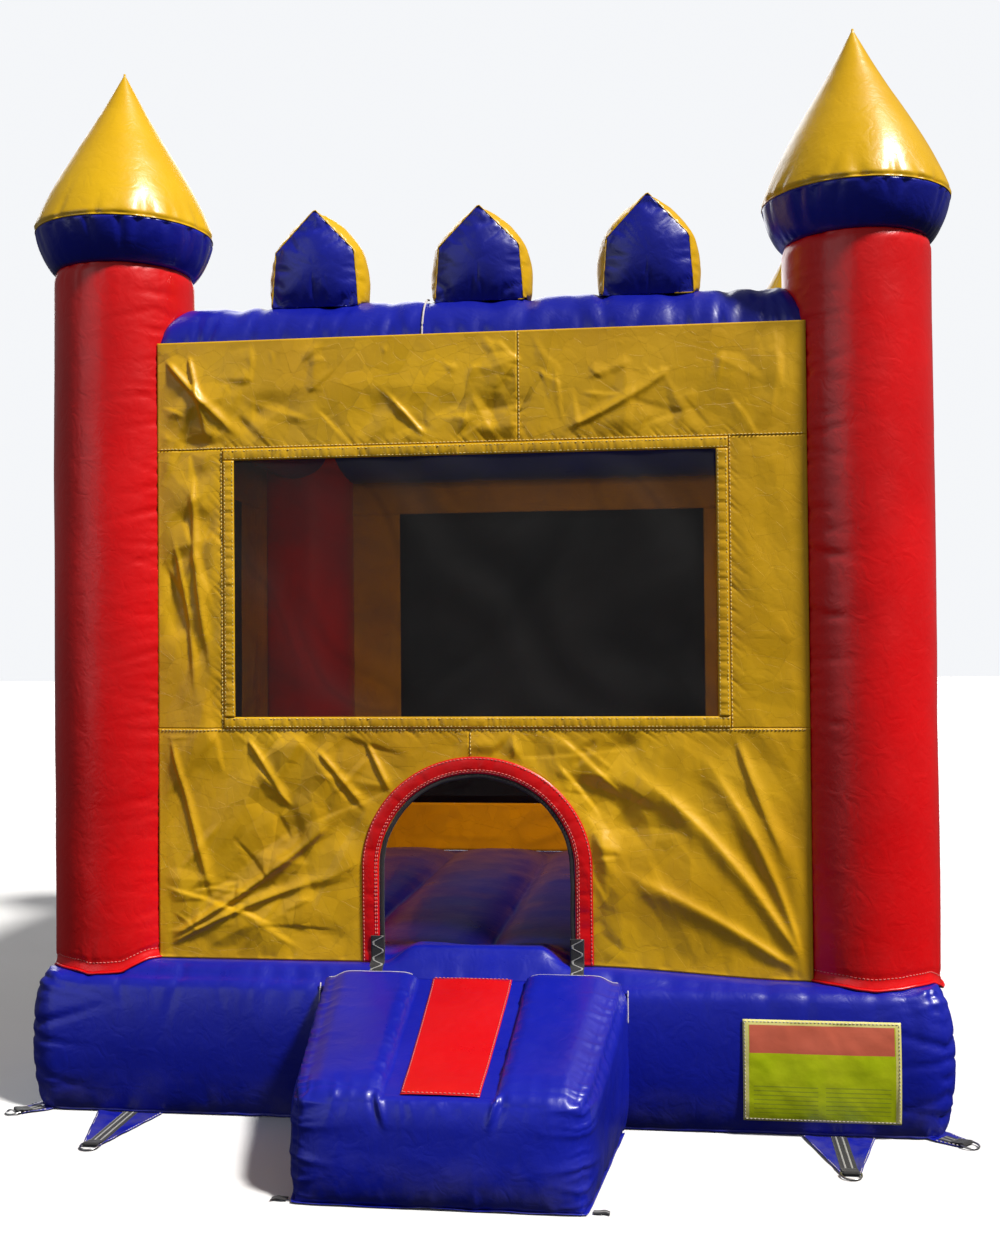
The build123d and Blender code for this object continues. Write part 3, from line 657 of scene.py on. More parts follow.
def base_surface():
    """A block with round corners and edges, whose sides swell between gathered seams."""
    xs = spaced(-BASE_HALF, BASE_HALF, 0.013)
    zs = spaced(0, BASE_TOP, 0.012)
    points, faces = box_surface(xs, xs, zs)
    x, y, z = points.T
    inner = BASE_HALF - CORNER_R
    q = np.clip(points[:, :2], -inner, inner)
    d = points[:, :2] - q
    most = np.abs(d).max(1)
    size = np.hypot(*d.T)
    outward = d / np.maximum(size, 1e-9)[:, None]
    ring = q + outward * most[:, None]
    edge_away = np.minimum(BASE_HALF - np.abs(x), BASE_HALF - np.abs(y))
    on_top = z > BASE_TOP - 1e-6
    on_bottom = z < 1e-6
    side_s = np.where(
        BASE_HALF - np.abs(y) <= BASE_HALF - np.abs(x),
        np.where(y < 0, x + BASE_HALF, 3 * SIDE_LENGTH - (x + BASE_HALF)),
        np.where(x > 0, SIDE_LENGTH + y + BASE_HALF, 4 * SIDE_LENGTH - (y + BASE_HALF)),
    )
    inset = edge_away.copy()
    height = z.copy()
    e = np.clip(edge_away / EDGE_R, 0, 1)
    top_angle = np.radians(45 + 45 * e)
    near_top = on_top & (edge_away < EDGE_R)
    inset[near_top] = (EDGE_R * (1 - np.cos(top_angle)))[near_top]
    height[near_top] = (BASE_TOP - EDGE_R + EDGE_R * np.sin(top_angle))[near_top]
    f = np.clip((BASE_TOP - z) / EDGE_R, 0, 1)
    side_angle = np.radians(45 * (1 - f))
    near_edge = ~on_top & (BASE_TOP - z < EDGE_R)
    inset[near_edge] = (EDGE_R * (1 - np.cos(side_angle)))[near_edge]
    height[near_edge] = (BASE_TOP - EDGE_R + EDGE_R * np.sin(side_angle))[near_edge]
    inset = inset - np.where(on_bottom, 0, base_swell(height) * ease(1 - edge_away / 0.16))
    inset = inset - np.where(on_bottom, base_swell(z) * ease(1 - edge_away / 0.1), 0)
    moved = ring + outward * (edge_away - inset)[:, None]
    # Gathers at the top seam, wrinkles at the four corners, and slow unevenness.
    arc = np.where(on_top, edge_away - 0.012, BASE_TOP - height + 0.012)
    relief = gathers(side_s, arc, 5, 4 * SIDE_LENGTH, 0.085, 0.011, 0.085)
    relief *= 0.3 + 0.7 * ease(np.abs(arc) / 0.016)
    relief -= 0.0035 * np.exp(-((arc / 0.006) ** 2))
    corner_away = np.abs((side_s + SIDE_LENGTH / 2) % SIDE_LENGTH - SIDE_LENGTH / 2)
    relief += np.where(on_top, 0, gathers(z, corner_away, 9, 0.465, 0.045, 0.013, 0.10))
    relief += np.where(on_top, 0, gathers(side_s, z, 12, 4 * SIDE_LENGTH, 0.075, 0.004, 0.06))
    p3 = np.stack([moved[:, 0], moved[:, 1], height], -1)
    relief += 0.0035 * layered(p3, 0.32, 3)
    relief *= np.where(on_bottom, 0, 1)
    side_share = np.where(on_top, ease(1 - edge_away / 0.05), 1)
    moved = moved + outward * (relief * side_share)[:, None]
    height = height + np.where(on_top, relief * (1 - 0.4 * side_share), 0)
    under_tower = sum(ease((0.33 - np.hypot(p3[:, 0] - cx, p3[:, 1] - cy)) / 0.06)
                      for cx, cy in CORNERS.values())
    settle = np.minimum(height, BASE_TOP - 0.001)
    height = np.where(on_top, height * (1 - under_tower) + settle * under_tower, height)
    wall_near = np.minimum(np.abs(np.abs(p3[:, 1]) - WALL_Y), np.abs(np.abs(p3[:, 0]) - WALL_X))
    under_walls = BASE_TOP - 0.0005 + 0.01 * ease(wall_near / 0.05)
    height = np.where(on_top & (edge_away > 0.06), np.minimum(height, under_walls), height)
    held = np.where(on_top, 1 - ease((wall_near - 0.012) / 0.03), 0)
    height = height * (1 - held) + (BASE_TOP - 0.0005) * held
    height = height + np.where(on_top, floor_height(p3[:, 0], p3[:, 1]) + front_rim(x, y), 0)
    height = np.where(on_bottom, 0, np.maximum(height, 0))
    # The stiff zip at the rear holds the side flat behind it.
    zip_away = np.hypot(np.maximum(np.abs(x - sum(ZIP_X) / 2) - (ZIP_X[1] - ZIP_X[0]) / 2 - 0.015, 0),
                        np.maximum(np.abs(height - ZIP_Z) - 0.024, 0))
    flat = np.where((y > 0) & ~on_top & ~on_bottom, 1 - ease(zip_away / 0.085), 0)
    moved[:, 1] += flat * (np.minimum(moved[:, 1], BASE_HALF - 0.0008) - moved[:, 1])
    return np.stack([moved[:, 0], moved[:, 1], height], -1), faces


base_points, faces = base_surface()
base_tree = tree_of(base_points, faces)
base = piece("base", base_points, faces, BLUE, slot="blue_vinyl", replaces=["base_shell"])


def round_square(half, radius, step=0.02):
    """A closed path round a square with rounded corners, anticlockwise from the front left."""
    path = []
    straight = half - radius
    for k, (across, deep) in enumerate(((1, -1), (1, 1), (-1, 1), (-1, -1))):
        cx, cy = across * straight, deep * straight
        a = np.radians(-90 + 90 * k) + np.linspace(0, math.pi / 2, 10)
        path += list(np.stack([cx + radius * np.cos(a), cy + radius * np.sin(a)], -1))
    path = np.array(path + [path[0]])
    s = run_of(path)
    t = np.linspace(0, s[-1], int(s[-1] / step))[:-1]
    return at_lengths(path, s, t), t


loop, t = round_square(BASE_HALF - 0.014, CORNER_R)
hem_path = np.column_stack([loop, 0.006 + 0.0015 * noise(flat3(t, t * 0), 0.05, 4)])
piece("base_hem", *tube(hem_path, 0.0055, 8, closed=True), BLUE, slot="blue_vinyl")

# ---- Towers ----

SEWN_ROW = 0.034
COLLAR_HEIGHT, CONE_HEIGHT, EAVE_R = 0.1395, 0.604, 0.3


def revolved(centre, radii, heights, sides, relief):
    """Rings of a tower: radii and heights per row, with relief(angle, height, radius) added outwards."""
    angle = np.tile(round_angles(sides), (len(radii), 1))
    height = heights[:, None] + 0 * angle
    r = radii[:, None] + relief(angle, height, radii[:, None])
    return around(centre, r, angle, height)


def capped(rows):
    """A closed mesh from rings: a fan over the first and over the last."""
    n, m = rows.shape[:2]
    points = np.concatenate([rows.reshape(-1, 3), rows[0].mean(0)[None], rows[-1].mean(0)[None]])
    i = np.arange(m)
    fans = [np.stack([i, (i + 1) % m, np.full(m, n * m)], -1),
            np.stack([(n - 1) * m + i, (n - 1) * m + (i + 1) % m, np.full(m, n * m + 1)], -1)]
    return points, [grid_quads(n, m, wrap_m=True)] + fans


def tower_sides(place):
    """Angles, seen from a tower's axis, at which its two walls meet it."""
    cx, cy = CORNERS[place]
    a = math.atan2(math.copysign(WALL_Y, cy) - cy, -math.copysign(CHORD, cx))
    b = math.atan2(-math.copysign(CHORD, cy), math.copysign(WALL_X, cx) - cx)
    return a, b


def turned(angle, to):
    """The angle between two directions, 0 to pi."""
    return np.abs((angle - to + math.pi) % TAU - math.pi)


for k, (place, (cx, cy)) in enumerate(CORNERS.items()):
    seams = tower_sides(place)
    fine_sides = 168
    zs = spaced(BASE_TOP + 0.0005, COLUMN_TOP, 0.012)
    above_base = zs - BASE_TOP
    up = above_base / (COLUMN_TOP - BASE_TOP)
    radii = COLUMN_R - 0.002 + 0.003 * np.sin(math.pi * up)
    radii += 0.006 * np.exp(-(above_base / 0.012) ** 2) - 0.004 * np.exp(-((above_base - SEWN_ROW)
            / 0.008) ** 2)
    radii -= 0.007 * np.exp(-((COLUMN_TOP - zs) / 0.016) ** 2)

    def column_relief(angle, height, radius):
        out = np.zeros(angle.shape)
        for n, seam in enumerate(seams):
            strong = 0.55 + 0.45 * np.clip((height - 0.9) / 1.3, 0, 1)
            out += strong * gathers(height, turned(angle, seam) * radius, 40 + 10 * k + n, 2.7,
                                    0.036, 0.0058, 0.085)
        out += gathers(angle * radius, COLUMN_TOP - height, 70 + k, TAU * COLUMN_R, 0.06, 0.004, 0.05)
        out += gathers(angle * radius, height - BASE_TOP - SEWN_ROW, 80 + k, TAU * COLUMN_R, 0.05,
                       0.003, 0.05)
        p = around((cx, cy), radius, angle, height)
        return out + 0.0022 * layered(p * [1, 1, 0.5], 0.22, 90 + k)

    skin = revolved((cx, cy), radii, zs, fine_sides, column_relief)
    a = round_angles(fine_sides)
    foot = np.maximum(drop(base_tree, cx + COLUMN_R * np.cos(a), cy + COLUMN_R * np.sin(a), 0.43), 0.43)
    foot = (np.roll(foot, 1) + foot + np.roll(foot, -1)) / 3 + 0.0012
    low_share = 1 - ease((skin[..., 2] - BASE_TOP) / 0.16)
    skin[..., 2] += (foot - zs[0])[None] * low_share
    column = piece(f"column_{place}_skin", *capped(skin), RED, slot="red_vinyl", replaces=[f"column_{place}"])
    row = int(np.argmin(np.abs(zs - BASE_TOP - SEWN_ROW)))
    ring = np.concatenate([skin[row], skin[row][:1]])
    a = np.append(a, TAU)
    facing = np.stack([np.cos(a), np.sin(a), 0 * a], -1)
    piece(f"column_{place}_stitching", *stitches(ring + facing * 0.0004, facing), RED_THREAD,
          slot="red_vinyl")
    rope = skin[0] + facing[:-1] * 0.001
    rope[:, 2] += 0.004
    piece(f"column_{place}_piping", *tube(rope, 0.0045, 8, closed=True), RED, slot="red_vinyl")

    low = COLUMN_TOP + 0.001
    t = np.linspace(0, 1, 26)
    flare = COLUMN_R - 0.006 + 0.072 * t**0.66 + 0.004 * np.sin(math.pi * t)
    collar_radii = flare - 0.003 * np.exp(-((1 - t) / 0.04) ** 2)

    def collar_relief(angle, height, radius):
        s, length = angle * EAVE_R, TAU * EAVE_R
        out = gathers(s, low + 0.14 - height, 100 + k, length, 0.062, 0.012, 0.06)
        out += gathers(s, height - low, 120 + k, length, 0.05, 0.004, 0.04)
        p = around((cx, cy), radius, angle, height)
        return (out + 0.002 * layered(p, 0.15, 130 + k)) * ease((low + COLLAR_HEIGHT - height) / 0.008)

    points, faces = capped(revolved((cx, cy), collar_radii, low + COLLAR_HEIGHT * t, 180, collar_relief))
    collar = piece(f"collar_{place}_skin", points, faces, BLUE, slot="blue_vinyl",
                   replaces=[f"collar_{place}"])

    eave = low + COLLAR_HEIGHT + 0.0015
    t = np.linspace(0, 1, 90) ** 1.25
    straight = 0.322 * (1 - t)
    belly = 0.020 * np.sin(math.pi * np.clip(t / 0.75, 0, 1)) * (1 - t)
    cone_radii = np.maximum(straight + belly - 0.010 * np.exp(-(t / 0.018) ** 2), 0.004)

    def cone_relief(angle, height, radius):
        s, length = angle * EAVE_R, TAU * EAVE_R
        fade = np.clip(radius / 0.12, 0, 1) * ease((height - eave) / 0.008)
        out = gathers(s, height - eave, 140 + k, length, 0.085, 0.016, 0.05)
        p = around((cx, cy), radius, angle, height)
        out += 0.0022 * layered(p, 0.2, 150 + k)
        ridge = turned(angle, 0.9 + k)
        return fade * (out - 0.0025 * np.exp(-(ridge * radius / 0.004) ** 2))

    points, faces = capped(revolved((cx, cy), cone_radii, eave + CONE_HEIGHT * t, 180, cone_relief))
    cone = piece(f"cone_{place}_skin", points, faces, YELLOW, slot="yellow_vinyl", replaces=[f"cone_{place}"])

# ---- Beams ----


def beam(name, axis, fixed, sign, seed):
    """A beam along axis 0 (x) or 1 (y), whose ends follow the towers' round skins."""
    ends = COLUMN_X if axis == 0 else COLUMN_Y
    sides = 96
    a = round_angles(sides)
    n = 190
    across = BEAM_R * np.cos(a)
    reach = ends - np.sqrt((COLUMN_R + 0.001) ** 2 - across**2)
    s = np.linspace(-1, 1, n)[:, None] * reach[None]
    angle = np.tile(a, (n, 1))
    # The wall's seam lies on the outside of the beam, a little above its middle.
    seam_angle = math.asin((WALL_HIGH - BEAM_Z) / BEAM_R)
    outward_angle = seam_angle if sign > 0 else math.pi - seam_angle
    away = turned(angle, outward_angle) * BEAM_R
    relief = gathers(s + ends, away, seed, 2 * ends, 0.085, 0.012, 0.09)
    relief += gathers(s + ends, np.abs(away - 0.17), seed + 3, 2 * ends, 0.15, 0.013, 0.13)
    p = np.stack([s, angle * BEAM_R, 0 * s], -1)
    relief += 0.0022 * layered(p * [1, 0.6, 1], 0.16, seed + 5) - 0.0022
    relief -= 0.004 * np.exp(-((reach[None] - np.abs(s)) / 0.012) ** 2)
    r = BEAM_R + np.minimum(relief, 0)
    other = fixed + r * np.cos(angle)
    z = BEAM_Z + crowned(r * np.sin(angle))
    pts = np.stack([s, other, z] if axis == 0 else [other, s, z], -1)
    points, faces = capped(pts)
    piece(f"{name}_skin", points, faces, BLUE, slot="blue_vinyl", replaces=[name])


beam("beam_front", 0, -COLUMN_Y, -1, 200)
beam("beam_rear", 0, COLUMN_Y, 1, 220)
beam("beam_left", 1, -COLUMN_X, -1, 240)
beam("beam_right", 1, COLUMN_X, 1, 260)

# ---- Walls: coated sheets with folds, nets, tapes and stitching ----

# Each wall's own axes: a point is origin + x * across + z * up + out * outward.
WALLS = {
    "front": (np.array([0, -WALL_Y, 0]), np.array([1.0, 0, 0]), np.array([0, -1.0, 0])),
    "left": (np.array([-WALL_X, 0, 0]), np.array([0, -1.0, 0]), np.array([-1.0, 0, 0])),
    "right": (np.array([WALL_X, 0, 0]), np.array([0, 1.0, 0]), np.array([1.0, 0, 0])),
    "rear": (np.array([0, WALL_Y, 0]), np.array([-1.0, 0, 0]), np.array([0, 1.0, 0])),
}
WINDOWS = {
    "front": (-0.870, 1.290, 0.850, 2.251),
    "left": (-0.638, 0.720, 0.638, 2.290),
    "right": (-0.638, 0.720, 0.638, 2.290),
    "rear": (-0.820, 0.720, 0.820, 2.290),
}
HALVES = {"front": LONG_HALF, "left": SHORT_HALF, "right": SHORT_HALF, "rear": LONG_HALF}
TRIM_R, HOLE_R = 0.391, 0.332
BORDER = 0.039
# How far the stitching runs from a seam, and how far from a panel's end it stops.
STITCH_OFF, STITCH_END = 0.006, 0.01
UPPER_SEAM, LOWER_SEAM = 0.1525, -0.0205
RELIEF_LIMITS = -0.032, 0.034
UP = np.array([0, 0, 1.0])


def on_wall(place, x, z, out):
    """Points in a wall's own axes as points of the frame; the front's foot is lifted by the rim."""
    origin, across, outward_dir = WALLS[place]
    x, z, out = np.broadcast_arrays(np.asarray(x, float), np.asarray(z, float), np.asarray(out, float))
    if place == "front":
        below = WINDOWS["front"][1]
        z = z + foot_rise(x) * np.clip((below - z) / (below - WALL_LOW), 0, 1)
    return origin + x[..., None] * across + z[..., None] * UP + out[..., None] * outward_dir


def door_distance(x, z):
    """Distance outside the middle line of the arch: radius from the arch's centre or from its axis."""
    return np.hypot(x - DOOR_X, np.maximum(z - DOOR_Z, 0))


def outside_window(place, x, z):
    """Distance outside a wall's window, 0 inside it."""
    x0, z0, x1, z1 = WINDOWS[place]
    dx = np.maximum(np.maximum(x0 - x, x - x1), 0)
    dz = np.maximum(np.maximum(z0 - z, z - z1), 0)
    return np.hypot(dx, dz)


def billow(place, x, z):
    """The slow curve that the whole wall has, nets and tapes included."""
    seed = {"front": 300, "left": 320, "right": 340, "rear": 360}[place]
    half = HALVES[place]
    edge = np.minimum(half - np.abs(x), np.minimum(WALL_HIGH - z, z - WALL_LOW))
    hold = ease(edge / 0.22)
    return hold * (0.006 * layered(flat3(x, z), 0.75, seed, 2) + 0.004)


# Packing creases of the front wall's parts: a share, then what creases() takes after u and v.
CREASES = [
    (1.0, 402, 46, (-1.1, 2.22), (1.05, 2.66), 0.34, 0.12, 0.085, None, (0.10, 0.5)),
    (1.0, 406, 34, (-1.1, 2.24), (1.05, 2.63), 0.20, 0.030, 0.20),
    (1.0, 403, 22, (-1.1, 1.3), (-0.86, 2.3), 0.34, 0.10, 0.085, 1.3, (0.12, 0.5)),
    (1.0, 404, 44, (-1.1, 0.5), (0.5, 1.32), 0.38, 0.12, 0.085, None, (0.10, 0.5)),
    (1.0, 407, 40, (-1.1, 0.5), (0.5, 1.32), 0.22, 0.030, 0.20),
    (0.8, 405, 26, (0.3, 0.5), (1.1, 2.3), 0.55, 0.14, 0.08, 2.2, (0.3, 0.9)),
]
# The front wall's long folds: (start, end, width, depth, lean), as (x, z) on the wall.
FOLDS = [
    ((-1.09, 0.52), (-0.42, 1.02), 0.030, 0.020, 0.03),
    ((-1.09, 0.50), (-0.45, 0.78), 0.026, 0.016, -0.03),
    ((-1.07, 1.28), (-0.90, 0.62), 0.022, 0.013),
    ((-1.09, 2.58), (-0.80, 2.28), 0.024, 0.017, 0.02),
    ((-1.00, 2.60), (-0.92, 2.27), 0.018, 0.013),
    ((-0.98, 2.20), (-0.90, 1.40), 0.026, 0.014, 0.03),
    ((-1.05, 1.95), (-0.97, 1.36), 0.020, 0.012, -0.02),
    ((1.09, 0.50), (0.45, 1.20), 0.055, 0.020, 0.06),
    ((1.09, 0.49), (0.72, 1.25), 0.045, 0.016, 0.05),
    ((1.09, 0.48), (0.42, 0.82), 0.050, 0.014, 0.03),
    ((0.86, 1.27), (1.05, 0.80), 0.035, 0.012, 0.02),
    ((-0.80, 1.27), (-0.62, 0.98), 0.020, 0.012),
    ((-0.15, 2.27), (-0.40, 2.55), 0.022, 0.012),
    ((0.30, 2.28), (0.70, 2.50), 0.028, 0.010, 0.03),
    ((-0.38, 1.25), (-0.27, 1.02), 0.018, 0.012),
    ((-0.55, 1.22), (-0.36, 0.98), 0.022, 0.013),
]


def wall_relief(place, x, z):
    """How far the sheet stands out of its plane."""
    seed = {"front": 400, "left": 430, "right": 460, "rear": 490}[place]
    half = HALVES[place]
    side = half - np.abs(x)
    edge = np.minimum(side, np.minimum(WALL_HIGH - z, z - WALL_LOW))
    hold = ease(edge / 0.07)
    window = ease(outside_window(place, x, z) / 0.07)
    relief = 0.6 * crumple(x, z, seed, 5, 0.30, 0.20)
    if place == "front":
        calm = ease((x - 0.35) / 0.6)
        for share, *how in CREASES:
            relief += share * creases(x, z, *how)
        relief *= 1 - 0.45 * calm
        # Long folds that pull from the towers' feet and heads towards the door and the window.
        for start, end, *size in FOLDS:
            relief += fold(x, z, start, end, *size)
        door = ease((door_distance(x, z) - TRIM_R) / 0.05)
        hold = hold * (0.2 + 0.8 * door)
    else:
        relief += creases(x, z, seed + 3, 110, (-half, 0.5), (half, 2.6), 0.36, 0.11, 0.085,
                          spread=(0.10, 0.6))
    bottom_pull = ease((z - WALL_LOW) / 0.03)
    relief = 0.78 * relief * hold * window * bottom_pull
    relief += gathers(x + half, WALL_HIGH - z, seed + 9, 2 * half, 0.085, 0.005,
                      0.07) * ease((WALL_HIGH - z) / 0.01)
    relief += gathers(x + half, z - WALL_LOW, seed + 11, 2 * half, 0.07, 0.004,
                      0.05) * ease((z - WALL_LOW) / 0.01)
    window_away = outside_window(place, x, z)
    relief += gathers(x + z, window_away, seed + 13, 6.0, 0.026, 0.0042, 0.026) * ease(window_away / 0.004)
    if place == "front":
        for seam in (UPPER_SEAM, LOWER_SEAM):
            there = (z > WINDOWS["front"][3]) if seam == UPPER_SEAM else (z < WINDOWS["front"][1])
            relief += gathers(z, x - seam, seed + 15, 2.7, 0.03, 0.003, 0.02) * there
    # The beam is just behind the top of the wall, so nothing goes back there.
    behind = ease((2.46 - z) / 0.10)
    relief = np.where(relief < 0, relief * (0.04 + 0.96 * behind), relief)
    return np.clip(relief, *RELIEF_LIMITS) + billow(place, x, z)


def panel(place, x0, z0, x1, z1, step):
    """Points and quads of a rectangle of wall, with the doorway cut from the front one."""
    nx, nz = max(3, int(round((x1 - x0) / step))), max(3, int(round((z1 - z0) / step)))
    x, z = np.meshgrid(np.linspace(x0, x1, nx), np.linspace(z0, z1, nz), indexing="ij")
    quads = grid_quads(nx, nz)
    x, z = x.ravel(), z.ravel()
    if place == "front" and z0 < DOOR_Z:
        away = door_distance(x, z) - HOLE_R
        near = (np.abs(away) < 0.62 * step) & (door_distance(x, z) > 0.05)
        gx = (x - DOOR_X) / np.maximum(door_distance(x, z), 1e-9)
        gz = np.maximum(z - DOOR_Z, 0) / np.maximum(door_distance(x, z), 1e-9)
        x = np.where(near, x - away * gx, x)
        z = np.where(near, z - away * gz, z)
        middle = door_distance(x[quads].mean(1), z[quads].mean(1))
        quads = quads[middle > HOLE_R]
        used, (quads,) = used_only(len(x), [quads])
        x, z = x[used], z[used]
    return on_wall(place, x, z, wall_relief(place, x, z)), quads


def area_of(points, quads):
    """Area of a surface of quads, taken as two triangles each."""
    a, b, c, d = (points[quads[:, i]] for i in range(4))
    first = np.linalg.norm(np.cross(b - a, c - a), axis=1).sum()
    second = np.linalg.norm(np.cross(c - a, d - a), axis=1).sum()
    return float((first + second) / 2)


front_x0, front_z0, front_x1, front_z1 = WINDOWS["front"]
FRONT_PANELS = {
    "upper_left": (-LONG_HALF, front_z1, UPPER_SEAM, WALL_HIGH),
    "upper_right": (UPPER_SEAM, front_z1, LONG_HALF, WALL_HIGH),
    "side_left": (-LONG_HALF, front_z0, front_x0, front_z1),
    "side_right": (front_x1, front_z0, LONG_HALF, front_z1),
    "lower_left": (-LONG_HALF, WALL_LOW, LOWER_SEAM, front_z0),
    "lower_right": (LOWER_SEAM, WALL_LOW, LONG_HALF, front_z0),
}
FRONT_STEP = 0.0055
thick = WALLS["front"][2] * VINYL
for name, (x0, z0, x1, z1) in FRONT_PANELS.items():
    points, quads = panel("front", x0, z0, x1, z1, FRONT_STEP)
    flat_points = points.copy()
    flat_points[:, 1] = 0
    area = area_of(flat_points, quads)
    obj = piece(f"front_wall_{name}_sheet", *slab(points, [quads], thick), WALL_YELLOW, slot="yellow_vinyl",
                replaces=[f"front_wall_{name}"])


def seam_stitches(place, runs):
    """Stitching along straight runs (x0, z0, x1, z1) on a wall."""
    parts = []
    for x0, z0, x1, z1 in runs:
        n = max(8, int(np.hypot(x1 - x0, z1 - z0) / 0.01))
        x, z = np.linspace(x0, x1, n), np.linspace(z0, z1, n)
        out = wall_relief(place, x, z) + VINYL + 0.0012
        parts.append(stitches(on_wall(place, x, z, out), WALLS[place][2]))
    return joined(*parts)



def window_runs(half, x0, z0, x1, z1):
    """Runs of stitching along the seams over, under and beside a wall's window."""
    high, low, end = z1 + STITCH_OFF, z0 - STITCH_OFF, half - STITCH_END
    left, right = x0 - STITCH_OFF, x1 + STITCH_OFF
    return [(-end, high, end, high), (-end, low, end, low), (left, z0, left, z1), (right, z0, right, z1)]


runs = window_runs(LONG_HALF, *WINDOWS["front"])
runs[2:2] = [
    (UPPER_SEAM + STITCH_OFF, front_z1 + STITCH_END, UPPER_SEAM + STITCH_OFF, WALL_HIGH - STITCH_END),
    (LOWER_SEAM + STITCH_OFF, DOOR_Z + TRIM_R + 0.005, LOWER_SEAM + STITCH_OFF, front_z0 - STITCH_END),
]
front_stitching = piece("front_wall_stitching", *seam_stitches("front", runs), YELLOW_THREAD,
                        slot="yellow_vinyl")

for place in ("left", "right", "rear"):
    x0, z0, x1, z1 = WINDOWS[place]
    half = HALVES[place]
    step = 0.0135
    thick = WALLS[place][2] * VINYL
    parts, area = [], 0.0
    for rectangle in ((-half, z1, half, WALL_HIGH), (-half, z0, x0, z1),
                      (x1, z0, half, z1), (-half, WALL_LOW, half, z0)):
        points, quads = panel(place, *rectangle, step)
        area += (rectangle[2] - rectangle[0]) * (rectangle[3] - rectangle[1])
        parts.append(slab(points, [quads], thick))
    sheet = piece(f"{place}_wall_sheets", *joined(*parts), WALL_YELLOW, slot="yellow_vinyl",
                  replaces=[f"{place}_wall_panels"])
    runs = window_runs(half, *WINDOWS[place])
    thread = piece(f"{place}_wall_stitching", *seam_stitches(place, runs), YELLOW_THREAD, slot="yellow_vinyl")

# Window nets, and the tape that is folded over their edges and sewn twice.
for place, (x0, z0, x1, z1) in WINDOWS.items():
    outward_dir = WALLS[place][2]
    step = 0.02
    nx, nz = int((x1 - x0) / step), int((z1 - z0) / step)
    x, z = np.meshgrid(np.linspace(x0 + 0.001, x1 - 0.001, nx),
                       np.linspace(z0 + 0.001, z1 - 0.001, nz), indexing="ij")
    inside = np.minimum(np.minimum(x - x0, x1 - x), np.minimum(z - z0, z1 - z))
    sag = billow(place, x, z) + ease(inside / 0.15) * 0.006 * layered(flat3(x, z), 0.5, 600 + len(place), 2)
    sag += ease(inside / 0.1) * 0.0025 * np.sin((x * 0.8 + z * 0.6) * 21 + 3 * noise(flat3(x, z), 0.4, 77))
    points = on_wall(place, x.ravel(), z.ravel(), sag.ravel())
    points, faces = slab(points, [grid_quads(nx, nz)], outward_dir * 0.0009)
    net = piece(f"{place}_window_net", points, faces, NET if place == "front" else DENSE_NET,
                slot="window_net", replaces=[f"{place}_window_mesh"])

    parts, threads = [], []
    fine = 0.006 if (place == "front") else 0.014
    for bx0, bz0, bx1, bz1, flat_way in (
        (x0, z1 - BORDER, x1, z1, True), (x0, z0, x1, z0 + BORDER, True),
        (x0, z0 + BORDER + 0.0006, x0 + BORDER, z1 - BORDER - 0.0006, False),
        (x1 - BORDER, z0 + BORDER + 0.0006, x1, z1 - BORDER - 0.0006, False),
    ):
        n_long = int(max(bx1 - bx0, bz1 - bz0) / fine)
        n_wide = 9
        u = np.linspace(bx0, bx1, n_long if flat_way else n_wide)
        v = np.linspace(bz0, bz1, n_wide if flat_way else n_long)
        bx, bz = np.meshgrid(u, v, indexing="ij")
        along = bx if flat_way else bz
        cross = (bz - bz0) / (bz1 - bz0) if flat_way else (bx - bx0) / (bx1 - bx0)
        pucker = gathers(along + 3, 0.004 + 0 * cross, 640 + len(place), 8.0, 0.022, 0.0042, 0.03)
        swell = 0.0022 * np.sin(math.pi * np.clip(cross, 0, 1)) ** 0.6
        out = billow(place, bx, bz) + 0.0022 + swell + (pucker + 0.0016) * np.sin(math.pi * cross) ** 0.4
        out = np.maximum(out, billow(place, bx, bz) + 0.0012)
        points = on_wall(place, bx.ravel(), bz.ravel(), out.ravel())
        parts.append(slab(points, [grid_quads(*bx.shape)], outward_dir * VINYL))
        for share in (0.16, 0.84):
            if flat_way:
                lx = np.linspace(bx0 + 0.004, bx1 - 0.004, n_long)
                lz = np.full(n_long, bz0 + share * (bz1 - bz0))
            else:
                lx = np.full(n_long, bx0 + share * (bx1 - bx0))
                lz = np.linspace(bz0, bz1, n_long)
            lift = billow(place, lx, lz) + 0.0016 + 0.0018 + VINYL
            threads.append(stitches(on_wall(place, lx, lz, lift), outward_dir))
    border = piece(f"{place}_window_tape", *joined(*parts), WALL_YELLOW, slot="yellow_vinyl",
                   replaces=[f"{place}_window_border"])
    thread = piece(f"{place}_window_stitching", *joined(*threads), YELLOW_THREAD, slot="yellow_vinyl")

# ---- Doorway: red band, black binding, webbing ties ----


def arch_path(radius, low, step=0.012):
    """x, z and outward directions from the left foot over the arch to the right foot."""
    legs = max(3, int((DOOR_Z - low) / step))
    a = np.linspace(math.pi, 0, max(12, int(math.pi * radius / step)))
    z_up = np.linspace(low, DOOR_Z, legs)[:-1]
    x = np.concatenate([np.full(legs - 1, -radius), radius * np.cos(a), np.full(legs - 1, radius)])
    z = np.concatenate([z_up, DOOR_Z + radius * np.sin(a), z_up[::-1]])
    nx = np.concatenate([np.full(legs - 1, -1.0), np.cos(a), np.full(legs - 1, 1.0)])
    nz = np.concatenate([0 * z_up, np.sin(a), 0 * z_up])
    return x + DOOR_X, z, nx, nz


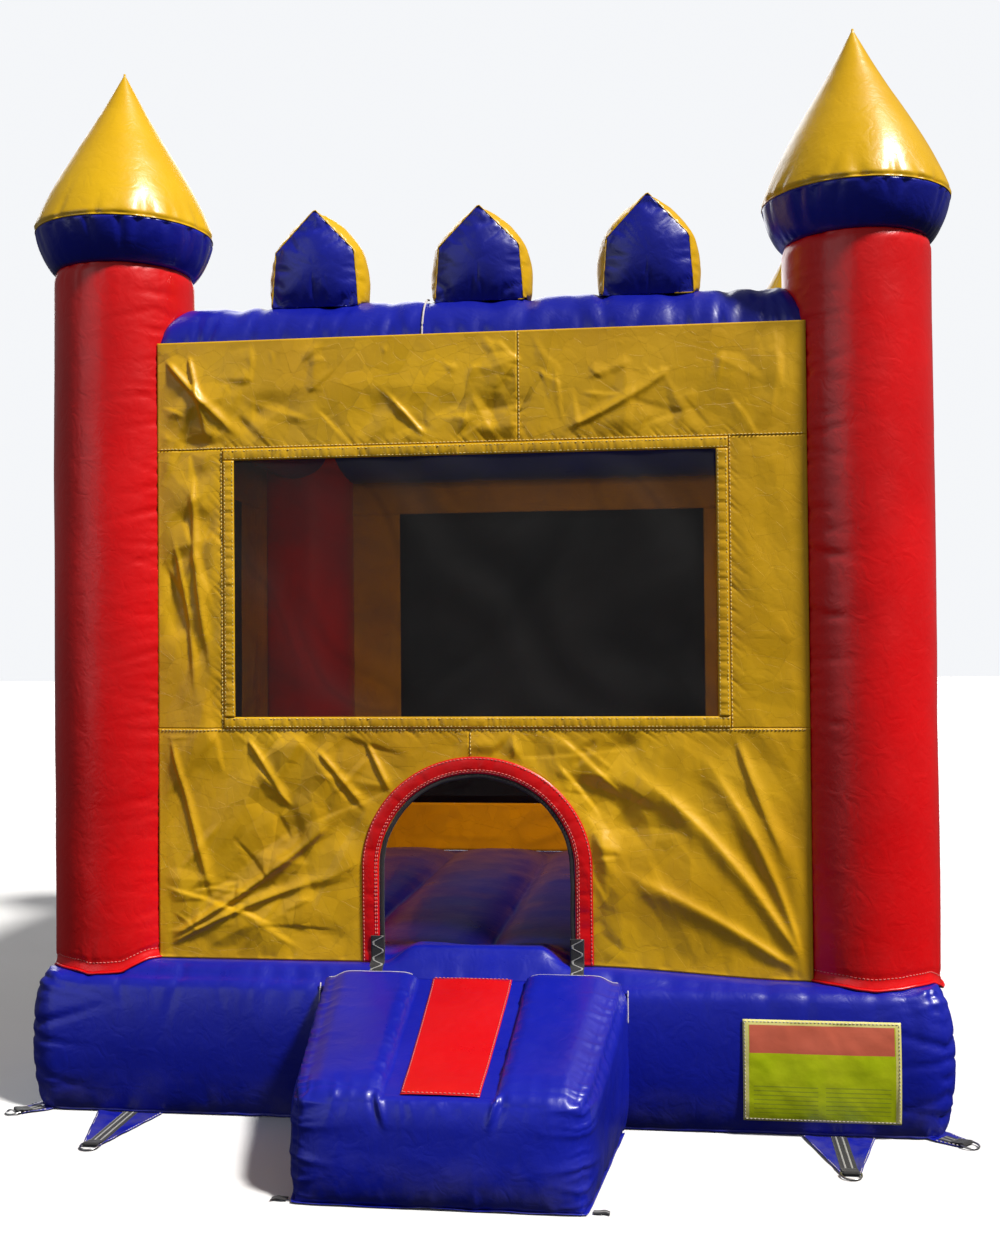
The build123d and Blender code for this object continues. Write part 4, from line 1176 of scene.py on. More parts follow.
base_x, base_z, nx, nz = arch_path(HOLE_R, WALL_LOW + 0.001, 0.008)
share = np.linspace(0, 1, 14)
bx = base_x[:, None] + nx[:, None] * share * (TRIM_R - HOLE_R)
bz = base_z[:, None] + nz[:, None] * share * (TRIM_R - HOLE_R)
run = run_of(np.column_stack([base_x, base_z]))
pucker = gathers(run[:, None] + 0 * share, np.abs(share - 0.5) * 0.05, 700, run[-1], 0.055, 0.0035, 0.05)
swell = 0.005 * np.sin(math.pi * share) ** 0.55
out = wall_relief("front", bx, bz) + VINYL + 0.0015 + swell + pucker * np.sin(math.pi * share) ** 0.5 * 0.8
out = np.maximum(out, wall_relief("front", bx, bz) + VINYL + 0.0006)
points = on_wall("front", bx.ravel(), bz.ravel(), out.ravel())
points, faces = slab(points, [grid_quads(*bx.shape)], WALLS["front"][2] * VINYL)
trim = piece("door_band", points, faces, RED, slot="red_vinyl", replaces=["door_trim"])
threads = []
for share_at in (0.12, 0.22, 0.9):
    tx = base_x + nx * share_at * (TRIM_R - HOLE_R)
    tz = base_z + nz * share_at * (TRIM_R - HOLE_R)
    lift = wall_relief("front", tx, tz) + 2 * VINYL + 0.0017 + 0.005 * math.sin(math.pi * share_at) ** 0.55
    threads.append(stitches(on_wall("front", tx, tz, lift), WALLS["front"][2]))
band_thread = piece("door_band_stitching", *joined(*threads), RED_THREAD, slot="red_vinyl")

bind_r = HOLE_R - 0.0085
tx, tz, nx, nz = arch_path(bind_r, WALL_LOW + 0.002, 0.010)
a = round_angles(12)
ring_in = 0.0078 * np.sign(np.cos(a)) * np.abs(np.cos(a)) ** 0.6
ring_out = 0.0042 * np.sign(np.sin(a)) * np.abs(np.sin(a)) ** 0.8
wob = 0.0016 * noise(flat3(np.arange(len(tx)) * 0.01, 0 * tx), 0.06, 710)
bx = tx[:, None] + nx[:, None] * (ring_in + wob[:, None])
bz = tz[:, None] + nz[:, None] * (ring_in + wob[:, None])
out = wall_relief("front", tx + nx * 0.01, tz + nz * 0.01)[:, None] + VINYL / 2
out = out + ring_out[None] * (1 + 60 * wob[:, None])
rows = on_wall("front", bx, np.maximum(bz, WALL_LOW + 0.0005), out)
piece("door_edge_binding", *capped(rows), WEBBING, slot="black_webbing", replaces=["door_binding"])


def ribbon(path, width_dir, width, thickness, cuts=9):
    """A flat strap along a path, as what slab takes: points, faces and the offset to its back."""
    path = np.asarray(path, float)
    width_dir = np.asarray(width_dir, float)
    ahead = np.gradient(path, axis=0)
    normal = np.cross(ahead, width_dir)
    normal /= np.linalg.norm(normal, axis=1)[:, None]
    share = np.linspace(-0.5, 0.5, cuts)
    crown = 0.25 * thickness * (1 - (2 * share) ** 2)
    top = path[:, None] + width_dir * (share[:, None] * width) + normal[:, None] * crown[:, None]
    pts = top.reshape(-1, 3)
    return pts, [grid_quads(len(path), cuts)], np.repeat(normal, cuts, 0) * -thickness


def smooth_path(points, step=0.004, rounds=3):
    """A polyline with its corners cut round."""
    p = np.asarray(points, float)
    for _ in range(rounds):
        q = 0.75 * p[:-1] + 0.25 * p[1:]
        r = 0.25 * p[:-1] + 0.75 * p[1:]
        p = np.concatenate([p[:1], np.stack([q, r], 1).reshape(-1, 3), p[-1:]])
    s = run_of(p)
    return at_lengths(p, s, np.linspace(0, s[-1], max(4, int(s[-1] / step))))


MARK_THICK = 0.0009
TIE_X, TIE_WIDTH = 0.337, 0.047


def strap_pieces(name, path, width_dir, width, stripes=None, zigzag=False, replaces=(), thickness=0.002):
    """Webbing with its woven marks as thin raised threads."""
    piece(name, *slab(*ribbon(path, width_dir, width, thickness)), WEBBING, slot="black_webbing",
          replaces=replaces)
    ahead = np.gradient(path, axis=0)
    normal = np.cross(ahead, np.asarray(width_dir, float))
    normal /= np.linalg.norm(normal, axis=1)[:, None]
    parts = []
    if zigzag:
        # A plain woven zigzag, with no lettering.
        period = 0.052
        wave = np.clip(np.abs(2 * ((run_of(path) / period) % 1) - 1) * 3.2 - 1.6, -1, 1) * 0.34
        line = path + np.outer(wave * width, width_dir) + normal * 0.0011
        parts.append(slab(*ribbon(line, width_dir, 0.0075, MARK_THICK, 3)[:2],
                          normal.repeat(3, 0) * -MARK_THICK))
    for place in stripes or ():
        line = path + np.outer(np.full(len(path), place * width), width_dir) + normal * MARK_THICK
        parts.append(slab(*ribbon(line, width_dir, 0.0055, MARK_THICK, 3)))
    piece(f"{name}_marks", *joined(*parts), GREY_THREAD, slot="black_webbing")


for sign in (-1, 1):
    x = DOOR_X + sign * TIE_X
    heights = np.array([0.592, 0.575, 0.555, 0.535, 0.478 + foot_rise(x)])
    y = -WALL_Y - wall_relief("front", np.full(5, x), heights) - 0.0125
    toe = y[-1] - np.array([0.010, 0.026, 0.042])
    lands = drop(base_tree, np.full(3, x), toe, 0.40) + 0.003
    path = [(x, a, b) for a, b in zip(np.append(y, toe), np.append(heights, lands))]
    path = smooth_path(path, 0.003)
    strap_pieces(f"door_tie_{'left' if sign < 0 else 'right'}", path, (1.0, 0, 0), TIE_WIDTH, zigzag=True,
                 replaces=["door_straps"] if sign < 0 else ())

# ---- Step ----

STEP_BACK, STEP_FRONT = -1.526, -2.206
# How far the air pushes the step's sides, its two tubes and its front out, and how its seams draw in.
STEP_SIDE_SWELL, STEP_TUBE_SWELL, STEP_FRONT_SWELL = 0.031, 0.033, 0.046
STEP_BACK_RISE, GUTTER_DIP, SHOULDER_DROP = 0.024, 0.0065, 0.012
FAR = 9


def step_width(t):
    """Half the step's width at a share t of the way to its front."""
    return 0.5 * (1.010 + (0.860 - 1.010) * t)


def step_top(t):
    return 0.455 + (0.303 - 0.455) * t


def gutter_at(t):
    """Half the width of the sunk panel between the step's two tubes."""
    return 0.182 - 0.020 * t


def step_surface():
    """A block whose seams stay put while the air swells its faces between them."""
    fine = 1.0
    us, ts, vs = (np.linspace(lo, 1, int(n * fine)) for lo, n in ((-1, 150), (0, 96), (0, 46)))
    points, faces = box_surface(us, ts, vs)
    u, t, v = points.T
    on_top, on_side, on_front = v > 1 - 1e-6, np.abs(np.abs(u) - 1) < 1e-6, t > 1 - 1e-6
    length = STEP_BACK - STEP_FRONT
    half = step_width(t) - 0.025
    top = step_top(t) - 0.005 + STEP_BACK_RISE * (1 - t) ** 2
    across, deep, tall = (1 - np.abs(u)) * half, (1 - t) * length, v * top
    long_way = t * length
    below = top - tall
    gutter = gutter_at(t)
    beside = u * half
    side_swell = STEP_SIDE_SWELL * rim(below + 0.022, 0.11) * rim(tall, 0.13) * rim(deep, 0.12)
    tube_swell = STEP_TUBE_SWELL * rim(across + 0.022, 0.12) * rim(np.abs(beside) - gutter,
            0.048) * rim(deep + 0.012, 0.12)
    tube_swell *= 0.4 + 0.6 * rim(long_way, 0.05)
    near_edge = np.minimum(np.where(on_top, across, FAR), np.where(on_side, below, FAR))
    shoulder = SHOULDER_DROP * (1 - ease(near_edge / 0.07))
    side_swell, tube_swell = side_swell - shoulder, tube_swell - shoulder
    in_gutter = ease((gutter - np.abs(beside)) / 0.008 + 0.5)
    tube_swell -= GUTTER_DIP * in_gutter * ease((deep - 0.04) / 0.16) * ease(long_way / 0.06)
    front_swell = STEP_FRONT_SWELL * rim(across, 0.13) * rim(below + 0.016, 0.09) * rim(tall, 0.13)
    x = beside + np.sign(u) * np.where(on_side, side_swell, np.where(on_top, -shoulder, 0))
    y = STEP_BACK + (STEP_FRONT - STEP_BACK) * t + 0.028 * v * t**8 - np.where(on_front, front_swell, 0)
    z = tall + np.where(on_top, tube_swell, np.where(on_side, -shoulder, 0))
    p = np.stack([x, y, z], -1)
    n = normals_of(p, faces)
    to_seams = (np.where(on_side, FAR, across), np.where(on_top, FAR, below), np.where(on_front, FAR, deep))
    sewn = rim(np.minimum.reduce(to_seams), 0.02)
    relief = 0.0035 * layered(p, 0.19, 800) * sewn
    # Gathers at the shoulders, the front edge, the front corners, the hem and the tubes' inner seams.
    shoulders = gathers(long_way, np.where(on_top, across, below) - 0.002, 810, 0.75, 0.042, 0.006, 0.045)
    relief += shoulders * (on_top | on_side) * ease(long_way / 0.1)
    relief += gathers(beside + 0.5, np.where(on_top, deep, below), 820, 1.0, 0.060, 0.0045,
                      0.055) * (on_top | on_front)
    relief += gathers(tall, np.where(on_front, across, deep), 830, 0.33, 0.030, 0.0095,
                      0.050) * (on_front | on_side)
    relief += gathers(beside + 0.5, tall, 840, 1.1, 0.075, 0.004, 0.06) * on_front
    relief += gathers(long_way, tall, 845, 0.8, 0.075, 0.006, 0.06) * on_side
    inner = np.abs(beside) - gutter
    relief += gathers(long_way, np.abs(inner - 0.004), 850, 0.75, 0.055, 0.005, 0.03) * (on_top & (inner > 0))
    # Two creases run over the front edge from the ends of the sunk panel.
    for side in (-1, 1):
        away = (beside - side * 0.166 + side * 0.3 * below * on_front) * side
        relief -= 0.011 * np.exp(-((away / 0.010) ** 2)) * on_front * (1 - ease(below / 0.09))
        relief += 0.006 * np.exp(-(((away - 0.02) / 0.012) ** 2)) * on_front * (1 - ease(below / 0.10))
    relief *= np.where(on_top & (inner < 0.006), 0.12, 1) * ease(t / 0.03) * np.where(v < 1e-6, 0, 1)
    p = p + n * relief[:, None]
    p[:, 1] = np.minimum(p[:, 1], STEP_BACK)
    p[:, 2] = np.where(v < 1e-6, 0.0, np.maximum(p[:, 2], 0.0))
    return p, faces


points, faces = step_surface()
step_tree = tree_of(points, faces)
step = piece("step", points, faces, BLUE, slot="blue_vinyl", replaces=["step_shell"])

TREAD_START, TREAD_RUN = STEP_BACK - 0.002, 0.650


def tread_half(t):
    return 0.131 - 0.0175 * t


u, t = np.meshgrid(np.linspace(-1, 1, 27), np.linspace(0, 1, 64), indexing="ij")
x = u * tread_half(t) + 0.002 + 0.0015 * t
y = TREAD_START - TREAD_RUN * t
lift = 0.0036 + 0.0012 * layered(flat3(x, y), 0.12, 860) + 0.0035 * np.cos(u * math.pi / 2) ** 0.7
z = drop(step_tree, x, y, 0.0) + np.maximum(lift, 0.0024)
points, faces = slab(np.stack([x, y, z], -1).reshape(-1, 3), [grid_quads(27, 64)], np.array([0, 0, -0.0016]))
tread = piece("tread_strip", points, faces, STRIP_RED, slot="red_vinyl", replaces=["step_tread_strip"])
edge_line = []
for start, end in (((-1, 0), (-1, 1)), ((1, 0), (1, 1)), ((-1, 0), (1, 0)), ((-1, 1), (1, 1))):
    u1 = np.linspace(start[0], end[0], 60) * 0.965
    t1 = 0.008 + np.linspace(start[1], end[1], 60) * 0.984
    x1, y1 = u1 * tread_half(t1) + 0.002 + 0.0015 * t1, TREAD_START - TREAD_RUN * t1
    z1 = np.interp(t1, t[0], z[2 if u1[0] < 0 and u1[-1] < 0 else -3 if u1[0] > 0 else 13]) + 0.001
    edge_line.append(stitches(np.stack([x1, y1, z1], -1), (0, 0, 1.0)))
piece("tread_stitching", *joined(*edge_line), RED_THREAD, slot="red_vinyl")

# The flat hem that sticks out under the step.
line = [(-1, t0) for t0 in np.linspace(0.05, 1, 40)]
line += [(u0, 1) for u0 in np.linspace(-1, 1, 60)[1:-1]]
line += [(1, t0) for t0 in np.linspace(1, 0.05, 40)]
line = np.array([(u0 * (step_width(t0) - 0.025), STEP_BACK + (STEP_FRONT - STEP_BACK) * t0) for u0,
                 t0 in line])
middle = np.array([0, -1.80])
out_way = np.sign(line - middle) * (np.abs(line - middle) > np.array([0.38, 0.38]))
out_way = np.array([np.array(o) / max(np.hypot(*o), 1) for o in out_way])
out_way = np.array([np.convolve(np.pad(out_way[:, k], 2, "edge"), np.ones(5) / 5, "valid") for k in (0, 1)]).T
share = np.linspace(-0.010, 0.020, 7)
pts = line[:, None] + out_way[:, None] * share[None, :, None]
uneven = 0.5 + 0.5 * noise(flat3(np.arange(len(line)) * 0.011, 0.0 * line[:, 0]), 0.06, 870)
ruffle = 0.0016 + 0.006 * np.clip(share / 0.02, 0, 1)[None] * uneven[:, None]
pts = np.concatenate([pts, ruffle[..., None]], -1)
piece("step_hem", *slab(pts.reshape(-1, 3), [grid_quads(len(line), 7)], UP * 0.0016), BLUE, slot="blue_vinyl")
# Pale seams along the back edges of the step's two tubes.
seams = []
for side in (-1, 1):
    x1 = side * np.linspace(0.196, 0.478, 60)
    y1 = np.full(60, STEP_BACK - 0.007)
    z1 = drop(step_tree, x1, y1, 0.4)
    seams.append(tube(np.stack([x1, y1, z1 + 0.0006], -1), 0.0015, 6))
piece("step_back_seams", *joined(*seams), PALE_THREAD, slot="blue_vinyl")
# Pale edge tapes where the step's side flaps meet the base.
for side, high, low in ((-1, 0.452, 0.375), (1, 0.448, 0.350)):
    zt = np.linspace(low, high, 20)
    path = np.stack([np.full(20, side * 0.509), -BASE_HALF - base_swell(zt) - 0.004, zt], -1)
    piece(f"step_flap_edge_{'left' if side < 0 else 'right'}", *tube(path, 0.0022, 8), PALE_THREAD,
          slot="blue_vinyl")

# ---- Merlons ----

MERLONS = {"left": -0.567, "middle": 0.013, "right": 0.593}
MERLON_DEPTH = 0.150
# How much taller than the middle one each merlon has swollen.
MERLON_STRETCH = {"left": 0.045, "middle": 0.015, "right": 0.060}
SHOULDER_Z, APEX_Z = 2.942, 3.083
GUSSET_BULGE = 0.014
MERLON_FOOT, MERLON_CLOTH = 2.752, 0.0015
CLOTH_PRESSURE, CLOTH_FRAMES, CLOTH_LIMIT = 14.0, 20, 0.034


def outline(n):
    """The merlon's house shape as (x, z) points, from the left foot round and back."""
    corners = [(-0.150, MERLON_FOOT), (-0.1405, SHOULDER_Z), (0.0, APEX_Z), (0.1405, SHOULDER_Z),
               (0.150, MERLON_FOOT)]
    foot = [(0.05, MERLON_FOOT), (-0.05, MERLON_FOOT)]
    line = np.array(corners + foot + corners[:1])
    s = run_of(line)
    return at_lengths(line, s, np.linspace(0, s[-1], n + 1)[:-1])


def inflate(points, faces, pins, pressure, frames, limit):
    """Points of a closed mesh that Blender's cloth swells under pressure while its pins hold."""
    mesh = bpy.data.meshes.new("swelling")
    mesh.from_pydata([tuple(p) for p in points], [], [tuple(int(i) for i in f) for fs in faces for f in fs])
    obj = bpy.data.objects.new("swelling", mesh)
    bpy.context.scene.collection.objects.link(obj)
    face_outwards(mesh)
    group = obj.vertex_groups.new(name="pins")
    group.add([int(i) for i in pins], 1.0, "REPLACE")
    mod = obj.modifiers.new("cloth", "CLOTH")
    s = mod.settings
    s.quality = 6
    s.mass = 0.3
    s.tension_stiffness = 15
    s.compression_stiffness = 15
    s.shrink_min = -0.035
    s.shear_stiffness = 20
    s.bending_stiffness = 0.02
    s.use_pressure = True
    s.uniform_pressure_force = pressure
    s.vertex_group_mass = "pins"
    s.effector_weights.gravity = 0.0
    mod.collision_settings.use_collision = False
    mod.point_cache.frame_start, mod.point_cache.frame_end = 1, frames
    scene = bpy.context.scene
    for at in range(1, frames + 1):
        scene.frame_set(at)
    dg = bpy.context.evaluated_depsgraph_get()
    done = obj.evaluated_get(dg).to_mesh()
    moved = np.zeros(len(done.vertices) * 3)
    done.vertices.foreach_get("co", moved)
    obj.evaluated_get(dg).to_mesh_clear()
    bpy.data.objects.remove(obj)
    bpy.data.meshes.remove(mesh)
    scene.frame_set(1)
    moved = moved.reshape(-1, 3)
    step_moved = moved - points
    length = np.linalg.norm(step_moved, axis=1)
    return points + step_moved * np.minimum(1, limit / np.maximum(length, 1e-9))[:, None]


def merlon_mesh(seed):
    """A closed pillow: rings of the front face, the gusset's rows, and rings of the rear face."""
    n, rings, rows = 96, 15, 15
    line = outline(n)
    middle = np.array([0.0, 2.885])
    half_depth = MERLON_DEPTH / 2
    sheets = []
    shares = 1 - (1 - np.linspace(0, 1, rings + 1)[1:]) ** 1.25
    for share in shares:
        ring = middle + (line - middle) * share
        sheets.append(np.stack([ring[:, 0], np.full(n, -half_depth), ring[:, 1]], -1))
    for v in np.linspace(-1, 1, rows + 2)[1:-1]:
        sheets.append(np.stack([line[:, 0], np.full(n, v * half_depth), line[:, 1]], -1))
    for share in shares[::-1]:
        ring = middle + (line - middle) * share
        sheets.append(np.stack([ring[:, 0], np.full(n, half_depth), ring[:, 1]], -1))
    rows_all = np.array(sheets)
    jitter = 0.0012 * layered(rows_all, 0.03, seed)
    rows_all = rows_all + jitter[..., None] * np.array([0.4, 1.0, 0.4])
    points, faces = capped(rows_all)
    at_foot = points[:, 2] < MERLON_FOOT + 0.0005
    seams = np.zeros(len(points), bool)
    for row in (rings - 1, rings + rows):
        seams[row * n : (row + 1) * n] = True
    return points, faces, n, rings, rows, at_foot | seams


def merlon(place, seed):
    """A merlon's swollen points in the frame, with its faces and the counts of its rows."""
    centre_x = MERLONS[place]
    points, faces, n, rings, rows, at_foot = merlon_mesh(seed)
    moved = inflate(points, faces, np.nonzero(at_foot)[0], CLOTH_PRESSURE, CLOTH_FRAMES, CLOTH_LIMIT)
    foot = BEAM_Z + BEAM_R
    up = np.maximum(moved[:, 2] - foot, 0)
    row = np.arange(len(moved)) // n
    across = np.clip((row - rings - (rows - 1) / 2) / ((rows + 1) / 2), -1, 1)
    bulge = GUSSET_BULGE * (1 - across**2) * ease(np.abs(moved[:, 0]) / 0.09) * (0.4 + 0.6 * ease(up / 0.10))
    slope = 0.7 * ease((moved[:, 2] - SHOULDER_Z + 0.02) / 0.04)
    moved[:, 0] += bulge * np.sign(moved[:, 0]) * np.sqrt(1 - slope**2)
    moved[:, 2] += bulge * slope
    moved[:, 2] += MERLON_STRETCH[place] * up
    moved[:, 0] *= 1.03 - 0.03 * ease(up / 0.17)
    moved = moved + np.array([centre_x, -COLUMN_Y, 0])
    # The foot follows the beam's round top.
    across = np.clip(moved[:, 1] + COLUMN_Y, -0.15, 0.15)
    beam_top = BEAM_Z - 0.004 + crowned(np.sqrt((BEAM_R + 0.0012) ** 2 - across**2))
    moved[:, 2] = np.maximum(moved[:, 2] + 0.003, beam_top)
    return moved, faces, n, rings, rows


gusset_parts, gusset_threads = [], []
for k, place in enumerate(MERLONS):
    moved, faces, n, rings, rows = merlon(place, 900 + 7 * k)
    quads = faces[0].reshape(-1, n, 4)
    front = [quads[: rings - 1].reshape(-1, 4), faces[1]]
    rear = [quads[rings + rows :].reshape(-1, 4), faces[2]]
    gusset = quads[rings - 1 : rings + rows]
    line = outline(n)
    keep = np.maximum(line[:, 1], np.roll(line[:, 1], -1)) > MERLON_FOOT + 0.0005
    gusset = gusset[:, keep].reshape(-1, 4)
    normal = normals_of(moved, [faces[0]])
    middle = np.array([MERLONS[place], -COLUMN_Y, 2.88])
    normal = normal * np.sign(np.einsum("ij,ij->i", normal, moved - middle))[:, None]

    def sheet_of(parts):
        used, faces_left = used_only(len(moved), parts)
        return slab(moved[used], faces_left, -normal[used] * MERLON_CLOTH)

    points, fs = joined(sheet_of(front), sheet_of(rear))
    obj = piece(f"merlon_{place}_faces", points, fs, BLUE, slot="blue_vinyl", replaces=[f"merlon_{place}"])
    gusset_parts.append(sheet_of([gusset]))
    for row in (rings - 1, rings + rows):
        ring = moved[row * n : (row + 1) * n][: int(n * 0.80)]
        ring = ring[ring[:, 2] > MERLON_FOOT + 0.005]
        gusset_threads.append(tube(ring, 0.0022, 6))
points, fs = joined(*gusset_parts)
gussets = piece("merlon_gusset_strips", points, fs, YELLOW, slot="yellow_vinyl", replaces=["merlon_gussets"])
points, fs = joined(*gusset_threads)
piece("merlon_piping", points, fs, YELLOW, slot="yellow_vinyl")

# ---- Roof ----

roof_low, roof_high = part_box("roof_sheet")
x, y = np.meshgrid(np.linspace(roof_low.x, roof_high.x, 90), np.linspace(roof_low.y, roof_high.y,
        88), indexing="ij")
quads = grid_quads(90, 88)
x, y = x.ravel(), y.ravel()
edge = np.minimum(roof_high.x - np.abs(x), roof_high.y - np.abs(y))
sag = -0.05 * ease(edge / 0.9) + ease(edge / 0.1) * 0.5 * crumple(x, y, 950, 6, 0.35, 0.10)
for cx, cy in CORNERS.values():
    away = np.hypot(x - cx, y - cy) - COLUMN_R - 0.001
    near = np.abs(away) < 0.016
    far = np.maximum(np.hypot(x - cx, y - cy), 1e-9)
    x, y = np.where(near, x - away * (x - cx) / far, x), np.where(near, y - away * (y - cy) / far, y)
    middle = np.hypot(x[quads].mean(1) - cx, y[quads].mean(1) - cy)
    quads = quads[middle > COLUMN_R]
used, quads_left = used_only(len(x), [quads])
points = np.stack([x, y, roof_high.z - VINYL + sag], -1)[used]
roof = piece("roof_cover", *slab(points, quads_left, UP * VINYL), BLUE, slot="blue_vinyl",
             replaces=["roof_sheet"])

# ---- Instruction panel: plain colours, no words ----


SIGN_X, SIGN_Z = (0.872, 1.362), (0.051, 0.373)
SIGN_HEM = 0.006
# Printed fields, as ranges of x and of z.
SIGN_FIELD = (0.890, 1.345), (0.060, 0.357)
SIGN_BAND = (0.892, 1.342), (0.270, 0.357)
SIGN_RULES = (0.905, 1.330), (0.078, 0.173)
SIGN_GAP = (1.105, 1.129)


def sign_material():
    """Printed plastic: a yellow-green field, a salmon band and a pale border, with faint ruled lines."""
    mat, tree, shader, where = nodes_of("sign_sheet")
    x, z = part_of(tree, where, "X"), part_of(tree, where, "Z")

    def between(value, low, high):
        return times(tree, calculated(tree, "GREATER_THAN", value, low),
                     calculated(tree, "LESS_THAN", value, high))

    def inside(field):
        return times(tree, between(x, *field[0]), between(z, *field[1]))

    patches = add_noise(tree, where, 9.0, 4.0)
    field = mixed(tree, mapped(tree, patches, 0.0, 1.0), (0.44, 0.55, 0.004), (0.60, 0.67, 0.006))
    colour = mixed(tree, inside(SIGN_BAND), field, (0.64, 0.135, 0.075))
    lines = calculated(tree, "GREATER_THAN", bands(tree, where, "Z", 22.0), 0.86)
    gap = between(x, *SIGN_GAP)
    rows = times(tree, inside(SIGN_RULES), calculated(tree, "SUBTRACT", 1.0, gap))
    colour = mixed(tree, times(tree, times(tree, lines, rows), 0.55), colour, (0.20, 0.24, 0.03))
    body = inside(SIGN_FIELD)
    border_colour = mixed(tree, mapped(tree, patches, 0.0, 1.0), (0.72, 0.66, 0.20), (0.82, 0.76, 0.28))
    surface(tree, shader, mixed(tree, body, border_colour, colour), mapped(tree, patches, 0.3, 0.5),
            bump(tree, add_noise(tree, where, 14.0, 3.0), 0.004, 0.4))
    return mat


SIGN = sign_material()
x, z = np.meshgrid(np.linspace(*SIGN_X, 60), np.linspace(*SIGN_Z, 42), indexing="ij")
edge = np.minimum(np.minimum(x - SIGN_X[0], SIGN_X[1] - x), np.minimum(z - SIGN_Z[0], SIGN_Z[1] - z))
out = base_swell(z) + 0.0065 + ease(edge / 0.02) * (0.0022 * layered(flat3(x, z), 0.09, 970) + 0.001)
y = -BASE_HALF - out
points, faces = slab(np.stack([x, y, z], -1).reshape(-1, 3), [grid_quads(60, 42)], np.array([0, -0.0012, 0]))
sign_piece = piece("sign_sheet_panel", points, faces, SIGN, slot="sign_sheet", replaces=["sign_panel"])
frame_path = []
(x0, x1), (z0, z1) = SIGN_X, SIGN_Z
sewn_corners = [(x0 + SIGN_HEM, z0 + SIGN_HEM), (x1 - SIGN_HEM, z0 + SIGN_HEM),
                (x1 - SIGN_HEM, z1 - SIGN_HEM), (x0 + SIGN_HEM, z1 - SIGN_HEM)]
for (x0, z0), (x1, z1) in zip(sewn_corners, sewn_corners[1:] + sewn_corners[:1]):
    sx, sz = np.linspace(x0, x1, 60), np.linspace(z0, z1, 60)
    frame_path.append(stitches(np.stack([sx, -BASE_HALF - base_swell(sz) - 0.0084, sz], -1),
                               (0, -1.0, 0), 0.012, 0.009, 0.0011))
sign_thread = piece("sign_stitching", *joined(*frame_path), PALE_THREAD, slot="sign_sheet")

# ---- Ground anchors ----

CORNER_POINT = BASE_HALF - CORNER_R * (1 - math.sqrt(0.5))
ANCHORS = {
    "front_left": (-1.170, -BASE_HALF, -90, 0.320),
    "front_right": (1.170, -BASE_HALF, -90, 0.320),
    "corner_front_left": (-CORNER_POINT, -CORNER_POINT, -135, 0.085),
    "corner_front_right": (CORNER_POINT, -CORNER_POINT, -45, 0.085),
    "corner_rear_left": (-CORNER_POINT, CORNER_POINT, 135, 0.085),
    "corner_rear_right": (CORNER_POINT, CORNER_POINT, 45, 0.085),
}
BAR_Z, LOOP_R = 0.0075, 0.0045
TIP_HALF, TIP_GAP, STRAP_WIDTH = 0.028, 0.0055, 0.050
for k, (place, (ax, ay, heading, length)) in enumerate(ANCHORS.items()):
    along = np.array([math.cos(math.radians(heading)), math.sin(math.radians(heading)), 0])
    across = np.array([-along[1], along[0], 0])
    start = np.array([ax, ay, 0])
    root_half = 0.275 * length + 0.025
    tucked = 0.030 if place.startswith("corner") else 0.004
    s, w = np.meshgrid(np.linspace(-tucked, length - TIP_GAP, max(10, int(length / 0.008))),
                       np.linspace(-1, 1, 25), indexing="ij")
    half_w = root_half + (TIP_HALF - root_half) * np.clip(s / length, 0, 1)
    ripple = 0.0022 * (1 + layered(flat3(s + k, w * 0.1), 0.05, 980)) * ease((np.abs(w) - 0.5) / 0.3)
    rise = 0.0008 + 0.004 * np.clip(np.abs(w) - 0.75, 0, 1) + ripple
    rise = np.where(np.abs(w) * half_w < 0.03, 0.0006, rise)
    pts = start + s[..., None] * along + (w * half_w)[..., None] * across + rise[..., None] * UP
    points, faces = slab(pts.reshape(-1, 3), [grid_quads(*s.shape)], UP * 0.0012)
    patch = piece(f"anchor_patch_{place}", points, faces, BLUE, slot="blue_vinyl",
                  replaces=["anchor_patches"] if k == 0 else ())
    hems = []
    for side in (-1, 1):
        ss = np.linspace(0, length - 0.012, 40)
        hw = root_half + (TIP_HALF - root_half) * ss / length - 0.004
        line = start + ss[:, None] * along + (side * hw)[:, None] * across + UP * (0.0044)
        hems.append(stitches(line, UP))
    piece(f"anchor_patch_{place}_stitching", *joined(*hems), PALE_THREAD, slot="blue_vinyl")
    nose = np.linspace(-math.pi / 2, math.pi / 2, 12)
    run = [start + along * s0 + UP * 0.0028 for s0 in np.linspace(-0.002, length,
            max(6, int(length / 0.012)))]
    turn = [start + along * (length + LOOP_R * math.cos(a0)) + UP
            * (BAR_Z + LOOP_R * math.sin(a0)) for a0 in nose[1:]]
    back = [start + along * (length - d0) + UP * h0 for d0, h0 in ((0.012, 0.0098), (0.026, 0.0068),
            (0.044, 0.0052))]
    path = smooth_path(np.array(run + turn + back), 0.004, 1)
    strap_pieces(f"anchor_strap_{place}", path, tuple(across), STRAP_WIDTH, stripes=(-0.2, 0.2),
                 replaces=["anchor_webbing"] if k == 0 else (), thickness=0.0018)

for side in (-1, 1):
    tail = ((0.434, -2.194, 0.003), (0.452, -2.197, 0.0045), (0.466, -2.193, 0.006), (0.480, -2.199, 0.003))
    path = smooth_path([(side * a, b, c) for a, b, c in tail], 0.003, 2)
    strap_pieces(f"step_tail_{'left' if side < 0 else 'right'}", path, (0, 1.0, 0), 0.024, stripes=(0.0,))

# ---- Inflation sleeve, tie and zip at the rear ----

